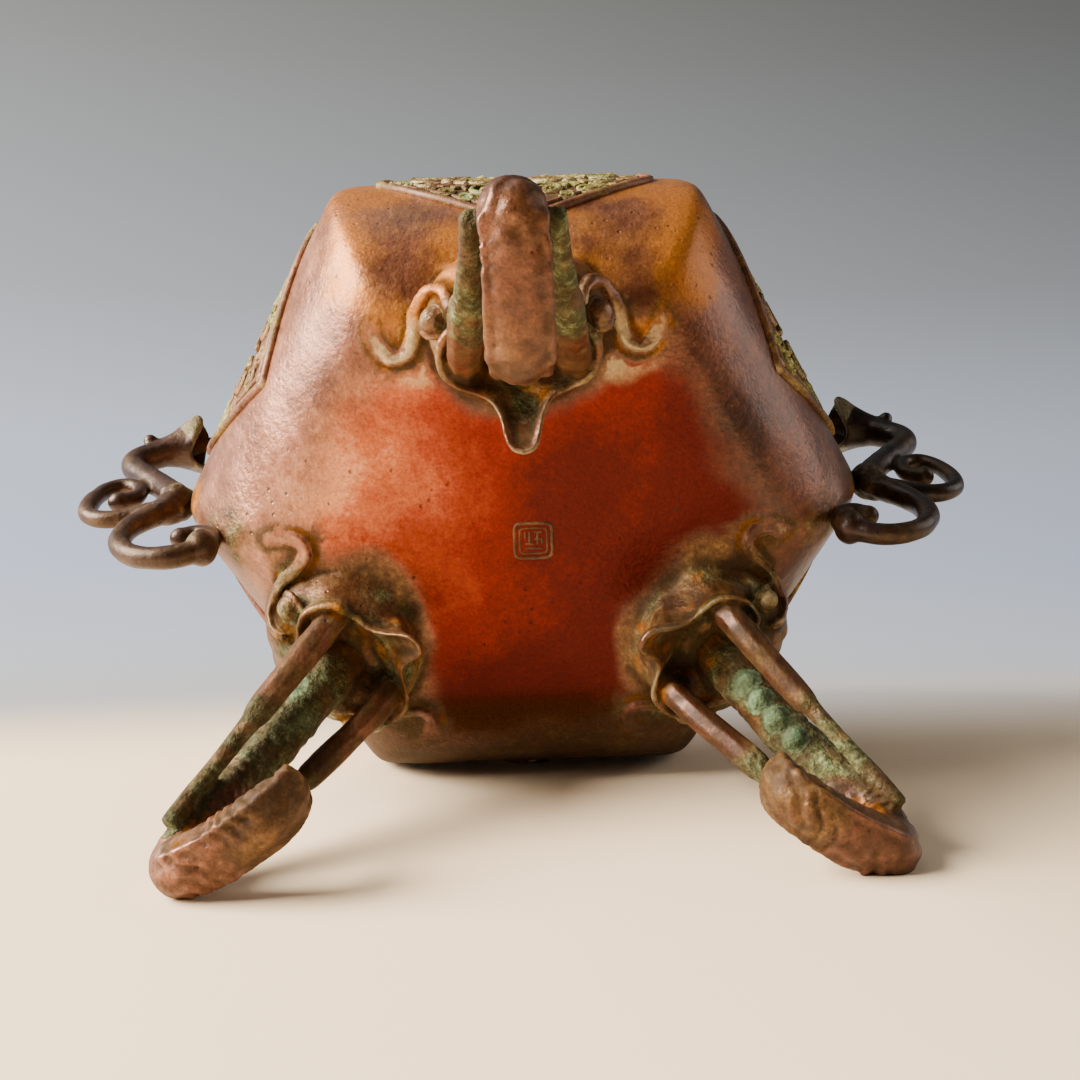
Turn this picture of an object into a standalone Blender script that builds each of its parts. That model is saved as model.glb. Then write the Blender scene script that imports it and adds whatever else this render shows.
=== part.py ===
"""Bronze tripod incense burner: a hexagonal bowl on three elephant-head legs, with two scroll handles.

The burner stands on its three trunk feet at z = 0. It is built around the axis of the bowl, with the
front leg along -Y and the handles along -X and +X, and is moved at the end so that its box is centred
over the origin. Sizes are in millimetres, and the meshes are written in metres.
"""
import math

import bmesh
import bpy
from mathutils import Matrix, Vector

MM = 0.001

# Bowl. Radii are measured to the corners of the hexagon.
BOTTOM_HEIGHT = 47.9
BOTTOM_RADIUS = 37.0
BELLY_HEIGHT = 76.5
BELLY_RADIUS = 59.8
SHOULDER_HEIGHT = 116.0
SHOULDER_RADIUS = 55.8
NECK_RISE = 4.0
NECK_HEIGHT = SHOULDER_HEIGHT + NECK_RISE
NECK_RADIUS = 50.5
RIM_RISE = 5.0
RIM_HEIGHT = NECK_HEIGHT + RIM_RISE
RIM_RADIUS = 52.3
MOUTH_RADIUS = 47.3
RIM_THICKNESS = 2.6
WALL = 3.0
FLOOR = 3.4
LOWER_FULLNESS = 1.85
SECTOR_ANGLES = (0, 3, 9, 19, 30, 41, 51, 57)
BOTTOM_SHARPNESS = 9.0
WALL_SHARPNESS = 38.0

# Seal recess under the bowl, a little off the axis.
SEAL_SIZE = 6.1
SEAL_DEPTH = 0.5
SEAL_OFFSET = 1.3

# Raised panels, one on each face of the hexagon.
PANEL_DROP = 16.5
PANEL_TIP_HEIGHT = BELLY_HEIGHT - PANEL_DROP
PANEL_RISE = 6.5
PANEL_SHOULDER_HEIGHT = BELLY_HEIGHT + PANEL_RISE
PANEL_TOP_HEIGHT = 110.0
PANEL_HALF_WIDTH = 23.0
PANEL_LIFT = 0.4
PANEL_ROOT = 1.4
BORDER_RADIUS = 0.9
SCROLL_RADIUS = 0.8

# Elephant head under each of three faces, set a little unevenly by hand. "Out" is the distance from
# the axis of the bowl.
LEG_TURNS = (-1.2, 121.6, 240.0)
HEAD_OUT = 33.0
LIP_HEIGHT = 38.0
LIP_THICKNESS = 1.2
CHIN_DROP = 5.8
MOUTH_DEPTH = 5.4
MOUTH_BACK = 5.5
CHEEK_HALF_WIDTH = 11.4
FOREHEAD_REACH = 12.6
THROAT_REACH = 8.6
EYE = Vector((11.9, 37.0, 42.6))
EYE_RADIUS = 2.0
BROW_RADIUS = 0.9

# Trunk. Its end curls in and up and is the foot.
TRUNK_ROOT_OUT = 36.6
TRUNK_ROOT_RADIUS = 4.8
TRUNK_RADIUS = 3.8
FOOT_RADIUS = 4.4
FOOT_SUNK = 0.8
FOOT_REACH = 55.6
FOOT_CURL = 15.7
FOOT_TIP_OUT = FOOT_REACH - FOOT_CURL
FOOT_TIP_HEIGHT = 10.8

# Tusks run from the mouth to the foot, beside the trunk, as (across, out, height).
TUSK_ROOT = Vector((7.8, 31.8, 38.4))
TUSK_TIP = Vector((4.8, FOOT_REACH, 7.8))
TUSK_ROOT_RADIUS = 2.2
TUSK_TIP_RADIUS = 1.5
TUSK_SOCKET = Vector((-0.6, 0.8, 7.5))

# Handles, in the plane through the axis. The rod hugs the corner and is cut back by the joint's gap.
ROD_RADIUS = 2.4
SCROLL_ROD_RADIUS = 1.8
VOLUTE_ROD_RADIUS = 1.5
JOINT_GAP = 0.3
ELBOW_OUT = 75.2
FLARE_RADIUS = 5.8
FLARE_THICKNESS = 3.2
FLARE_HEIGHT = 108.0
LOOP_LOW_HEIGHT = 45.9


def clear_scene():
    """Remove what the start-up file brings."""
    for thing in list(bpy.data.objects):
        bpy.data.objects.remove(thing, do_unlink=True)


def new_collection(name):
    """Add a collection to the scene."""
    made = bpy.data.collections.new(name)
    bpy.context.scene.collection.children.link(made)
    return made


def bronze(name, color, roughness):
    """A metal with the patina's colour."""
    made = bpy.data.materials.new(name)
    made.use_nodes = True
    shader = made.node_tree.nodes["Principled BSDF"]
    shader.inputs["Base Color"].default_value = (*color, 1.0)
    shader.inputs["Metallic"].default_value = 0.75
    shader.inputs["Roughness"].default_value = roughness
    return made


def mix(low, high, share):
    """The value at a share of the way from low to high."""
    return low + (high - low) * share


def hexagon(angle, corner_radius, sharpness):
    """Distance from the axis to a soft hexagon with corners on the X axis, at one angle."""
    def reach(direction):
        total = 0.0
        for face in range(6):
            facing = math.cos(direction - math.radians(30 + 60 * face))
            if facing > 0:
                total += facing ** sharpness
        return total ** (-1 / sharpness)
    return corner_radius * reach(angle) / reach(0.0)


def lower_curve(share):
    """Corner radius between the bottom and the belly, at a share of that height."""
    swell = (1 - (1 - share) ** LOWER_FULLNESS) ** (1 / LOWER_FULLNESS)
    return mix(BOTTOM_RADIUS, BELLY_RADIUS, swell)


def wall_radius(height):
    """Corner radius of the outside at one height below the neck."""
    if height <= BELLY_HEIGHT:
        share = max(0.0, (height - BOTTOM_HEIGHT) / (BELLY_HEIGHT - BOTTOM_HEIGHT))
        return lower_curve(share)
    share = (height - BELLY_HEIGHT) / (SHOULDER_HEIGHT - BELLY_HEIGHT)
    return mix(BELLY_RADIUS, SHOULDER_RADIUS, min(share, 1.0) ** 1.5)


def wall_sharpness(height):
    """The hexagon is soft under the bowl and crisp from the belly up."""
    share = (height - BOTTOM_HEIGHT) / (BELLY_HEIGHT - BOTTOM_HEIGHT)
    return mix(BOTTOM_SHARPNESS, WALL_SHARPNESS, min(max(share, 0.0), 1.0) ** 0.4)


def ring(height, corner_radius, sharpness, grow=0.0):
    """One closed row of points around the bowl."""
    points = []
    for face in range(6):
        for within in SECTOR_ANGLES:
            angle = math.radians(60 * face + within)
            radius = hexagon(angle, corner_radius, sharpness) + grow
            points.append(Vector((radius * math.cos(angle), radius * math.sin(angle), height)))
    return points


def loft(name, rows, collection, material=None):
    """A closed solid through rows of equally many points, with flat ends."""
    mesh = bpy.data.meshes.new(name)
    body = bmesh.new()
    made = [[body.verts.new(point * MM) for point in row] for row in rows]
    count = len(made[0])
    for low, high in zip(made, made[1:]):
        for step in range(count):
            after = (step + 1) % count
            body.faces.new((low[step], low[after], high[after], high[step]))
    body.faces.new(list(reversed(made[0])))
    body.faces.new(made[-1])
    bmesh.ops.recalc_face_normals(body, faces=body.faces)
    body.to_mesh(mesh)
    body.free()
    if material:
        mesh.materials.append(material)
    thing = bpy.data.objects.new(name, mesh)
    collection.objects.link(thing)
    return thing


def as_mesh(thing):
    """Swap an object, with its modifiers, for one plain mesh with welded points."""
    graph = bpy.context.evaluated_depsgraph_get()
    mesh = bpy.data.meshes.new_from_object(thing.evaluated_get(graph))
    body = bmesh.new()
    body.from_mesh(mesh)
    bmesh.ops.transform(body, matrix=thing.matrix_world, verts=body.verts)
    bmesh.ops.remove_doubles(body, verts=body.verts, dist=0.0005 * MM)
    bmesh.ops.recalc_face_normals(body, faces=body.faces)
    body.to_mesh(mesh)
    body.free()
    name = thing.name
    homes = list(thing.users_collection)
    bpy.data.objects.remove(thing, do_unlink=True)
    made = bpy.data.objects.new(name, mesh)
    for home in homes:
        home.objects.link(made)
    return made


def join_solids(base, others, operation="UNION"):
    """Add or cut solids one after the other, and keep the result as a mesh."""
    for other in others:
        step = base.modifiers.new(operation.lower(), "BOOLEAN")
        step.operation = operation
        step.solver = "EXACT"
        step.object = other
    bpy.context.view_layer.update()
    made = as_mesh(base)
    for other in others:
        bpy.data.objects.remove(other, do_unlink=True)
    return made


def smooth_points(stations, count):
    """Read evenly many points from a smooth curve through stations of (x, y, z, radius)."""
    rows = [stations[0]] + list(stations) + [stations[-1]]
    spans = len(stations) - 1
    points = []
    for step in range(count):
        place = step * spans / (count - 1)
        span = min(int(place), spans - 1)
        share = place - span
        before, start, end, after = rows[span:span + 4]
        point = []
        for a, b, c, d in zip(before, start, end, after):
            curve = 2 * b + (c - a) * share
            curve += (2 * a - 5 * b + 4 * c - d) * share ** 2
            curve += (3 * b - a - 3 * c + d) * share ** 3
            point.append(curve / 2)
        points.append(point)
    return points


def rod(name, stations, count, sides_step, collection, closed=False):
    """A round rod of changing radius through the stations, as a closed mesh."""
    path = bpy.data.curves.new(name, "CURVE")
    path.dimensions = "3D"
    path.bevel_depth = MM
    path.bevel_resolution = sides_step
    path.use_fill_caps = not closed
    line = path.splines.new("POLY")
    points = stations if closed else smooth_points(stations, count)
    line.points.add(len(points) - 1)
    for spot, (x, y, z, radius) in zip(line.points, points):
        spot.co = (x * MM, y * MM, z * MM, 1.0)
        spot.radius = radius
    line.use_cyclic_u = closed
    thing = bpy.data.objects.new(name, path)
    collection.objects.link(thing)
    bpy.context.view_layer.update()
    return as_mesh(thing)


def ball(name, center, half, collection, segments=14, rings=8, turn=None):
    """An ellipsoid."""
    mesh = bpy.data.meshes.new(name)
    body = bmesh.new()
    bmesh.ops.create_uvsphere(body, u_segments=segments, v_segments=rings, radius=1.0)
    place = Matrix.Translation(Vector(center) * MM)
    place = place @ (turn or Matrix.Identity(4))
    place = place @ Matrix.Diagonal((*[size * MM for size in half], 1.0))
    bmesh.ops.transform(body, matrix=place, verts=body.verts)
    body.to_mesh(mesh)
    body.free()
    thing = bpy.data.objects.new(name, mesh)
    collection.objects.link(thing)
    return thing


def block(name, center, size, collection):
    """A box."""
    mesh = bpy.data.meshes.new(name)
    body = bmesh.new()
    bmesh.ops.create_cube(body, size=1.0)
    place = Matrix.Translation(Vector(center) * MM) @ Matrix.Diagonal((*[side * MM for side in size], 1.0))
    bmesh.ops.transform(body, matrix=place, verts=body.verts)
    body.to_mesh(mesh)
    body.free()
    thing = bpy.data.objects.new(name, mesh)
    collection.objects.link(thing)
    return thing


def copy_turned(thing, degrees, collection):
    """A copy turned about the axis of the bowl."""
    made = thing.copy()
    made.data = thing.data.copy()
    made.data.transform(Matrix.Rotation(math.radians(degrees), 4, "Z"))
    collection.objects.link(made)
    return made


def bowl_rows(grow=0.0):
    """Rows of the outside, from the flat bottom to the rim."""
    rows = [ring(BOTTOM_HEIGHT - grow, BOTTOM_RADIUS, BOTTOM_SHARPNESS, grow)]
    lower_steps = 6
    for step in range(1, lower_steps + 1):
        share = (step / lower_steps) ** 1.6
        height = mix(BOTTOM_HEIGHT, BELLY_HEIGHT, share)
        rows.append(ring(height, wall_radius(height), wall_sharpness(height), grow))
    wall_steps = 2
    for step in range(1, wall_steps + 1):
        height = mix(BELLY_HEIGHT, SHOULDER_HEIGHT, step / wall_steps)
        rows.append(ring(height, wall_radius(height), WALL_SHARPNESS, grow))
    shoulder_mid = mix(SHOULDER_RADIUS, NECK_RADIUS, 0.4)
    rows.append(ring(mix(SHOULDER_HEIGHT, NECK_HEIGHT, 0.75), shoulder_mid, WALL_SHARPNESS, grow))
    rows.append(ring(NECK_HEIGHT, NECK_RADIUS, WALL_SHARPNESS, grow))
    rows.append(ring(RIM_HEIGHT - RIM_THICKNESS, RIM_RADIUS, WALL_SHARPNESS, grow))
    rows.append(ring(RIM_HEIGHT + grow, RIM_RADIUS, WALL_SHARPNESS, grow))
    return rows


def hollow_rows():
    """Rows of the inside, which runs out above the rim so that the cut is clean."""
    inside_bottom = BOTTOM_HEIGHT + FLOOR
    rows = [ring(inside_bottom, BOTTOM_RADIUS - WALL, BOTTOM_SHARPNESS)]
    lower_steps = 4
    for step in range(1, lower_steps + 1):
        height = mix(inside_bottom, BELLY_HEIGHT, (step / lower_steps) ** 1.6)
        share = (height - inside_bottom) / (BELLY_HEIGHT - inside_bottom)
        radius = lower_curve(share) - WALL
        rows.append(ring(height, radius, wall_sharpness(height)))
    for share in (0.5, 1.0):
        height = mix(BELLY_HEIGHT, SHOULDER_HEIGHT - WALL, share)
        rows.append(ring(height, wall_radius(height) - WALL, WALL_SHARPNESS))
    rows.append(ring(NECK_HEIGHT - WALL / 2, MOUTH_RADIUS, WALL_SHARPNESS))
    rows.append(ring(RIM_HEIGHT + WALL, MOUTH_RADIUS, WALL_SHARPNESS))
    return rows


def on_face(across, height, lift):
    """A point on the face that looks along -Y, lifted off the wall."""
    corner_radius = wall_radius(height)
    sharpness = wall_sharpness(height)
    angle = 0.0
    for _ in range(6):
        radius = hexagon(angle + math.radians(-90), corner_radius, sharpness)
        angle = math.asin(max(-1.0, min(1.0, across / radius)))
    return Vector((across, -(radius * math.cos(angle) + lift), height))


def panel_half_width(height):
    """Half the panel's width: a pointed lappet below, straight sides above."""
    if height >= PANEL_SHOULDER_HEIGHT:
        return PANEL_HALF_WIDTH
    share = (height - PANEL_TIP_HEIGHT) / (PANEL_SHOULDER_HEIGHT - PANEL_TIP_HEIGHT)
    return PANEL_HALF_WIDTH * math.sin(math.pi / 2 * max(share, 0.0)) ** 0.95


def make_panel(collection):
    """One raised panel on the -Y face, with its border and a pair of bold scrolls."""
    heights = [PANEL_TIP_HEIGHT + 0.6]
    for share in (0.3, 0.65, 1.0):
        heights.append(mix(PANEL_TIP_HEIGHT, PANEL_SHOULDER_HEIGHT, share))
    heights.append(PANEL_TOP_HEIGHT)
    across_steps = 4
    rows = []
    for height in heights:
        half = panel_half_width(height)
        spread = [mix(-half, half, step / across_steps) for step in range(across_steps + 1)]
        front = [on_face(across, height, PANEL_LIFT) for across in spread]
        back = [on_face(across, height, -PANEL_ROOT) for across in (half, -half)]
        rows.append(front + back)
    parts = [loft("panel_field", rows, collection)]
    outline = [(0, PANEL_TIP_HEIGHT)]
    for share in (0.3, 0.65):
        height = mix(PANEL_TIP_HEIGHT, PANEL_SHOULDER_HEIGHT, share)
        outline.append((panel_half_width(height), height))
    outline.append((PANEL_HALF_WIDTH, PANEL_SHOULDER_HEIGHT))
    outline.append((PANEL_HALF_WIDTH, PANEL_TOP_HEIGHT))
    mirrored = [(-across, height) for across, height in reversed(outline[1:])]
    border = []
    for across, height in outline + mirrored:
        border.append((*on_face(across, height, 0.0), BORDER_RADIUS))
    parts.append(rod("panel_border", border, 0, 0, collection, closed=True))
    scroll_height = mix(PANEL_SHOULDER_HEIGHT, PANEL_TOP_HEIGHT, 0.4)
    for side in (-1, 1):
        scroll = []
        steps = 8
        for step in range(steps):
            share = step / (steps - 1)
            angle = math.radians(-90) + side * 2.4 * math.pi * share
            radius = PANEL_HALF_WIDTH * mix(0.365, 0.122, share)
            across = side * PANEL_HALF_WIDTH * 0.47 + radius * math.cos(angle)
            height = scroll_height + 1.25 * radius * math.sin(angle)
            scroll.append((*on_face(across, height, 0.2), SCROLL_RADIUS))
        parts.append(rod("panel_scroll", scroll, steps, 0, collection))
    return parts


def lip_outline():
    """Half of the lip's edge: chin, lobe round the tusk, then behind the trunk.

    Each point is (across, inward, drop), the first two as shares of the cheek's half width.
    """
    chin = [(0.0, 1.175, 1.0), (0.149, 1.123, 0.92), (0.263, 0.965, 0.7), (0.351, 0.772, 0.42),
            (0.456, 0.579, 0.15)]
    lobe = [(0.649, 0.491, 0.0), (0.860, 0.404, 0.0), (1.009, 0.211, 0.0), (1.035, -0.035, 0.0),
            (0.912, -0.254, 0.0)]
    back = [(0.719, -0.404, -0.2), (0.561, -0.684, -0.4), (0.298, -0.912, -0.5), (0.0, -0.982, -0.5)]
    whole = chin + lobe + back
    return [(CHEEK_HALF_WIDTH * across, CHEEK_HALF_WIDTH * inward, drop) for across, inward, drop in whole]


def head_row(grow, lift, lip_share, back=2 * FOREHEAD_REACH):
    """A row around the head: the lip's edge at share 1, an oval at share 0, anything between."""
    half = lip_outline()
    whole = half + [(-across, inward, drop) for across, inward, drop in reversed(half[1:-1])]
    points = []
    for across, inward, drop in whole:
        turn = math.atan2(across, inward)
        edge = math.hypot(across, inward) + grow
        depth = THROAT_REACH if inward > 0 else FOREHEAD_REACH
        width = CHEEK_HALF_WIDTH + grow
        oval = 1 / math.hypot(math.sin(turn) / width, math.cos(turn) / (depth + grow))
        reach = mix(oval, edge, lip_share)
        height = LIP_HEIGHT + lift - CHIN_DROP * drop * lip_share
        out = HEAD_OUT + min(-reach * math.cos(turn), back)
        points.append(Vector((reach * math.sin(turn), -out, height)))
    return points


def make_head(collection):
    """The head from the bowl down to the thin open lip, with the mouth hollow."""
    rise = BOTTOM_HEIGHT - LIP_HEIGHT
    head = loft("leg", [head_row(0.0, 0.0, 1.0),
                        head_row(-0.4, 0.22 * rise, 0.8),
                        head_row(0.2, 0.6 * rise, 0.2),
                        head_row(1.6, rise, 0.0),
                        head_row(2.4, rise + 5.0, 0.0)], collection)
    mouth = loft("mouth", [head_row(-LIP_THICKNESS, -2.0 * CHIN_DROP, 1.0, MOUTH_BACK),
                           head_row(-LIP_THICKNESS, 0.2, 1.0, MOUTH_BACK),
                           head_row(-LIP_THICKNESS - 1.0, 0.4 * MOUTH_DEPTH, 0.7, MOUTH_BACK),
                           head_row(-LIP_THICKNESS - 4.0, MOUTH_DEPTH, 0.2, MOUTH_BACK)], collection)
    return join_solids(head, [mouth], "DIFFERENCE")


def make_leg(collection):
    """The leg on the -Y side: head, tusks, trunk, eyes and brows as one solid."""
    head = make_head(collection)
    sole = FOOT_RADIUS - FOOT_SUNK
    middle = mix(TRUNK_ROOT_RADIUS, TRUNK_RADIUS, 0.7)
    trunk = []
    for outward, rise, radius in [(0.0, 1.0, TRUNK_ROOT_RADIUS), (0.074, 0.856, TRUNK_ROOT_RADIUS),
                                  (0.242, 0.689, middle), (0.474, 0.522, TRUNK_RADIUS),
                                  (0.758, 0.355, TRUNK_RADIUS)]:
        out = mix(TRUNK_ROOT_OUT, FOOT_REACH, outward)
        trunk.append((0, -out, BOTTOM_HEIGHT * rise, radius))
    curl = [(0.95, 0.217, mix(TRUNK_RADIUS, FOOT_RADIUS, 0.6)), (1.04, 0.138, FOOT_RADIUS * 0.98)]
    for share, rise, radius in curl:
        trunk.append((0, -mix(FOOT_TIP_OUT, FOOT_REACH, share), BOTTOM_HEIGHT * rise, radius))
    for share, rise, size in [(0.99, 0.07, 1.0), (0.656, 0.0, 1.0), (0.331, 0.07, 1.0), (0.076, 0.3, 0.91),
                              (0.0, 0.7, 0.75), (0.045, 1.0, 0.5)]:
        height = mix(sole, FOOT_TIP_HEIGHT, rise)
        trunk.append((0, -mix(FOOT_TIP_OUT, FOOT_REACH, share), height, FOOT_RADIUS * size))
    parts = [rod("trunk", trunk, 22, 2, collection)]
    for side in (-1, 1):
        flip = Vector((side, -1, 1))
        start = (TUSK_ROOT + TUSK_SOCKET) * flip
        tusk = [(*start, TUSK_ROOT_RADIUS), (*(TUSK_ROOT * flip), TUSK_ROOT_RADIUS)]
        tusk.append((*(TUSK_TIP * flip), TUSK_TIP_RADIUS))
        parts.append(rod("tusk", tusk, 3, 1, collection))
        parts.append(ball("eye", EYE * flip, (EYE_RADIUS, EYE_RADIUS, EYE_RADIUS), collection, 8, 5))
        brow = [(-1.15, 0.8, -1.8), (-0.15, 1.7, 0.2), (0.85, 0.8, 2.2), (1.75, -1.4, 2.6),
                (2.95, -2.7, 2.7), (4.55, -2.3, 3.0)]
        spots = [(EYE + EYE_RADIUS * Vector(step)) * flip for step in brow]
        parts.append(rod("brow", [(*spot, BROW_RADIUS) for spot in spots], 8, 0, collection))
    return join_solids(head, parts)


def make_vessel(parts, cutters, material):
    """Bowl, panels and legs as one casting, hollow inside."""
    leg = make_leg(cutters)
    panel = make_panel(cutters)
    vessel = loft("vessel", bowl_rows(), parts)
    additions = [copy_turned(leg, turn, cutters) for turn in LEG_TURNS]
    for turn in range(0, 360, 60):
        additions += [copy_turned(piece, turn, cutters) for piece in panel]
    for thing in [leg] + panel:
        bpy.data.objects.remove(thing, do_unlink=True)
    vessel = join_solids(vessel, additions)
    hollow = loft("hollow", hollow_rows(), cutters)
    seal = block("seal", (SEAL_OFFSET, 0, BOTTOM_HEIGHT), (SEAL_SIZE, SEAL_SIZE, 2 * SEAL_DEPTH), cutters)
    deep = FOOT_RADIUS * 4
    wide = BELLY_RADIUS * 4
    ground = block("ground", (0, 0, -deep / 2), (wide, wide, deep), cutters)
    vessel = join_solids(vessel, [hollow, seal, ground], "DIFFERENCE")
    vessel.data.materials.clear()
    vessel.data.materials.append(material)
    return vessel


def handle_stations(shares):
    """Stations of a rod in the plane of the handle, from shares of the handle's reach and height."""
    stations = []
    for reach, rise, radius in shares:
        out = mix(BELLY_RADIUS, ELBOW_OUT, reach)
        stations.append((out, 0, mix(LOOP_LOW_HEIGHT, FLARE_HEIGHT, rise), radius))
    return stations


def make_handle(name, side, parts, cutters, material):
    """One scroll handle on the +X corner, mirrored for the other side."""
    # Stations are shares of the reach from the corner to the elbow, and of the height from loop to flare.
    rod_line = [
        (0.104, 1.039, ROD_RADIUS * 1.33), (0.312, 0.990, ROD_RADIUS * 1.5), (0.558, 0.939, ROD_RADIUS * 1.29),
        (0.805, 0.878, ROD_RADIUS * 1.17), (1.0, 0.813, ROD_RADIUS * 1.08), (0.974, 0.742, ROD_RADIUS),
        (0.714, 0.649, ROD_RADIUS), (0.403, 0.546, ROD_RADIUS), (0.182, 0.446, ROD_RADIUS * 1.08),
        (0.156, 0.372, ROD_RADIUS * 1.08), (0.325, 0.298, SCROLL_ROD_RADIUS), (0.461, 0.211, SCROLL_ROD_RADIUS),
        (0.442, 0.118, SCROLL_ROD_RADIUS), (0.247, 0.037, SCROLL_ROD_RADIUS), (-0.052, 0.0, SCROLL_ROD_RADIUS),
        (-0.325, 0.014, SCROLL_ROD_RADIUS), (-0.506, 0.072, SCROLL_ROD_RADIUS),
        (-0.506, 0.137, SCROLL_ROD_RADIUS), (-0.338, 0.172, SCROLL_ROD_RADIUS * 0.78),
        (-0.182, 0.150, SCROLL_ROD_RADIUS * 0.56)]
    volute_line = [
        (0.195, 0.362, VOLUTE_ROD_RADIUS), (0.519, 0.311, VOLUTE_ROD_RADIUS), (0.818, 0.295, VOLUTE_ROD_RADIUS),
        (1.052, 0.340, VOLUTE_ROD_RADIUS), (1.143, 0.427, VOLUTE_ROD_RADIUS), (1.117, 0.517, VOLUTE_ROD_RADIUS),
        (0.948, 0.575, VOLUTE_ROD_RADIUS), (0.714, 0.552, VOLUTE_ROD_RADIUS),
        (0.649, 0.475, VOLUTE_ROD_RADIUS * 0.87), (0.831, 0.433, VOLUTE_ROD_RADIUS * 0.73)]
    handle = rod(name, handle_stations(rod_line), 46, 2, parts)
    volute = rod("volute", handle_stations(volute_line), 20, 1, cutters)
    turn = Matrix.Rotation(math.radians(42), 4, "Y")
    flare_half = (FLARE_THICKNESS / 2, FLARE_RADIUS, FLARE_RADIUS)
    flare_out = mix(BELLY_RADIUS, ELBOW_OUT, 0.273)
    flare = ball("flare", (flare_out, 0, FLARE_HEIGHT), flare_half, cutters, 12, 6, turn)
    handle = join_solids(handle, [volute, flare])
    keep_off = loft("keep_off", bowl_rows(JOINT_GAP), cutters)
    handle = join_solids(handle, [keep_off], "DIFFERENCE")
    if side < 0:
        handle.data.transform(Matrix.Rotation(math.pi, 4, "Z"))
    handle.data.materials.clear()
    handle.data.materials.append(material)
    return handle


def centre_over_origin(things):
    """Move the finished pieces together so that their common box is centred over the origin."""
    across = [spot.co.x for thing in things for spot in thing.data.vertices]
    along = [spot.co.y for thing in things for spot in thing.data.vertices]
    shift = Vector((min(across) + max(across), min(along) + max(along), 0.0)) / -2
    for thing in things:
        thing.data.transform(Matrix.Translation(shift))


def main():
    """Build the burner."""
    clear_scene()
    parts = new_collection("incense_burner")
    cutters = new_collection("cutters")
    red_brown = bronze("bronze_red_brown", (0.27, 0.085, 0.035), 0.45)
    dark_brown = bronze("bronze_dark_brown", (0.16, 0.07, 0.035), 0.4)
    vessel = make_vessel(parts, cutters, red_brown)
    left = make_handle("handle_left", -1, parts, cutters, dark_brown)
    right = make_handle("handle_right", 1, parts, cutters, dark_brown)
    centre_over_origin([vessel, left, right])
    for thing in cutters.objects:
        thing.hide_render = True
        thing.display_type = "WIRE"


main()
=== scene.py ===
# %% [markdown]
# # A bronze tripod incense burner, seen from below
# The burner is a hexagonal bowl on three elephant heads, whose trunks curl into feet, with two scroll
# handles. It lies on its side in the photograph, so the camera looks at the bottom of the bowl. The model
# stands upright on its feet, as it is used, and the camera and the table are turned round it instead.

# %% Load the frame
import math

import bmesh
import bpy
import numpy as np
from mathutils import Matrix, Vector


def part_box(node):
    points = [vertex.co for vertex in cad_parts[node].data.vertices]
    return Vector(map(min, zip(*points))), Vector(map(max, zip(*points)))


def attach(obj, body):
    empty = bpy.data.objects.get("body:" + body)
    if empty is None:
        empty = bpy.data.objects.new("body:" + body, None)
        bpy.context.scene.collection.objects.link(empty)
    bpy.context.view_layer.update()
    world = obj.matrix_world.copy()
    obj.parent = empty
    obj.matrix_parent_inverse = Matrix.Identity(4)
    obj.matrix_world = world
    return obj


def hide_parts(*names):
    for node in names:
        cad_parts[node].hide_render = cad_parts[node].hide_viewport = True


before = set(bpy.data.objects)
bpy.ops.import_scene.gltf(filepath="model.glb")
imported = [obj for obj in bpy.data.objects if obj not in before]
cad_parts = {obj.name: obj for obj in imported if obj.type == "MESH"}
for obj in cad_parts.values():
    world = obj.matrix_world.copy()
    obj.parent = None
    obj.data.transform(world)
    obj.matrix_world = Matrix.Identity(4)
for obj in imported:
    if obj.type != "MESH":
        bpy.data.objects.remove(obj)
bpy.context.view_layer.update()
handle_low, handle_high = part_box("handle_right")
MM = 0.001
AXIS_Y = (handle_low.y + handle_high.y) / 2
VOXEL = 0.37
THINNED_VESSEL, THINNED_HANDLE = 166000, 60000
print("axis of the bowl at y =", round(AXIS_Y / MM, 2), "mm")

# %% [markdown]
# ## Helpers for node trees
# Everything is worked out in millimetres round the axis of the bowl, with the front leg along -Y. One class
# adds a node, sets its numbers and draws its links in one call, so that a tree of nodes reads nearly like
# a formula.


# %% Helpers for node trees
class Wiring:
    """Adds nodes to one tree. A number is set on a socket, and a socket is linked to it."""

    def __init__(self, tree):
        self.tree = tree

    def node(self, kind, inputs=None, **settings):
        made = self.tree.nodes.new(kind)
        for name, value in settings.items():
            setattr(made, name, value)
        for key, value in (inputs or {}).items():
            if isinstance(value, bpy.types.NodeSocket):
                self.tree.links.new(value, made.inputs[key])
            else:
                made.inputs[key].default_value = value
        return made

    def math(self, operation, *values, clamp=False):
        inputs = dict(enumerate(values))
        return self.node("ShaderNodeMath", inputs, operation=operation, use_clamp=clamp).outputs[0]

    def chain(self, operation, total, *values):
        for value in values:
            total = self.math(operation, total, value)
        return total

    def add(self, *values):
        return self.chain("ADD", *values)

    def times(self, *values):
        return self.chain("MULTIPLY", *values)

    def most(self, *values):
        return self.chain("MAXIMUM", *values)

    def less(self, first, second):
        return self.math("SUBTRACT", first, second)

    def vector(self, operation, first, second):
        key = "Scale" if operation == "SCALE" else 1
        return self.node("ShaderNodeVectorMath", {0: first, key: second}, operation=operation).outputs[0]

    def combined(self, x=0.0, y=0.0, z=0.0):
        return self.node("ShaderNodeCombineXYZ", {"X": x, "Y": y, "Z": z}).outputs[0]

    def parted(self, vector):
        return self.node("ShaderNodeSeparateXYZ", {0: vector}).outputs

    def named(self, name):
        return self.node("GeometryNodeInputNamedAttribute", {"Name": name}, data_type="FLOAT").outputs[0]


print("sums and products of sockets are written as", *(word for word in vars(Wiring) if word[0] != "_"))

# %% [markdown]
# ## How a tree starts and ends
# Every tree of geometry takes geometry, its sizes and a material. It ends in plain geometry that carries
# the material, because instances don't survive the export.


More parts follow.
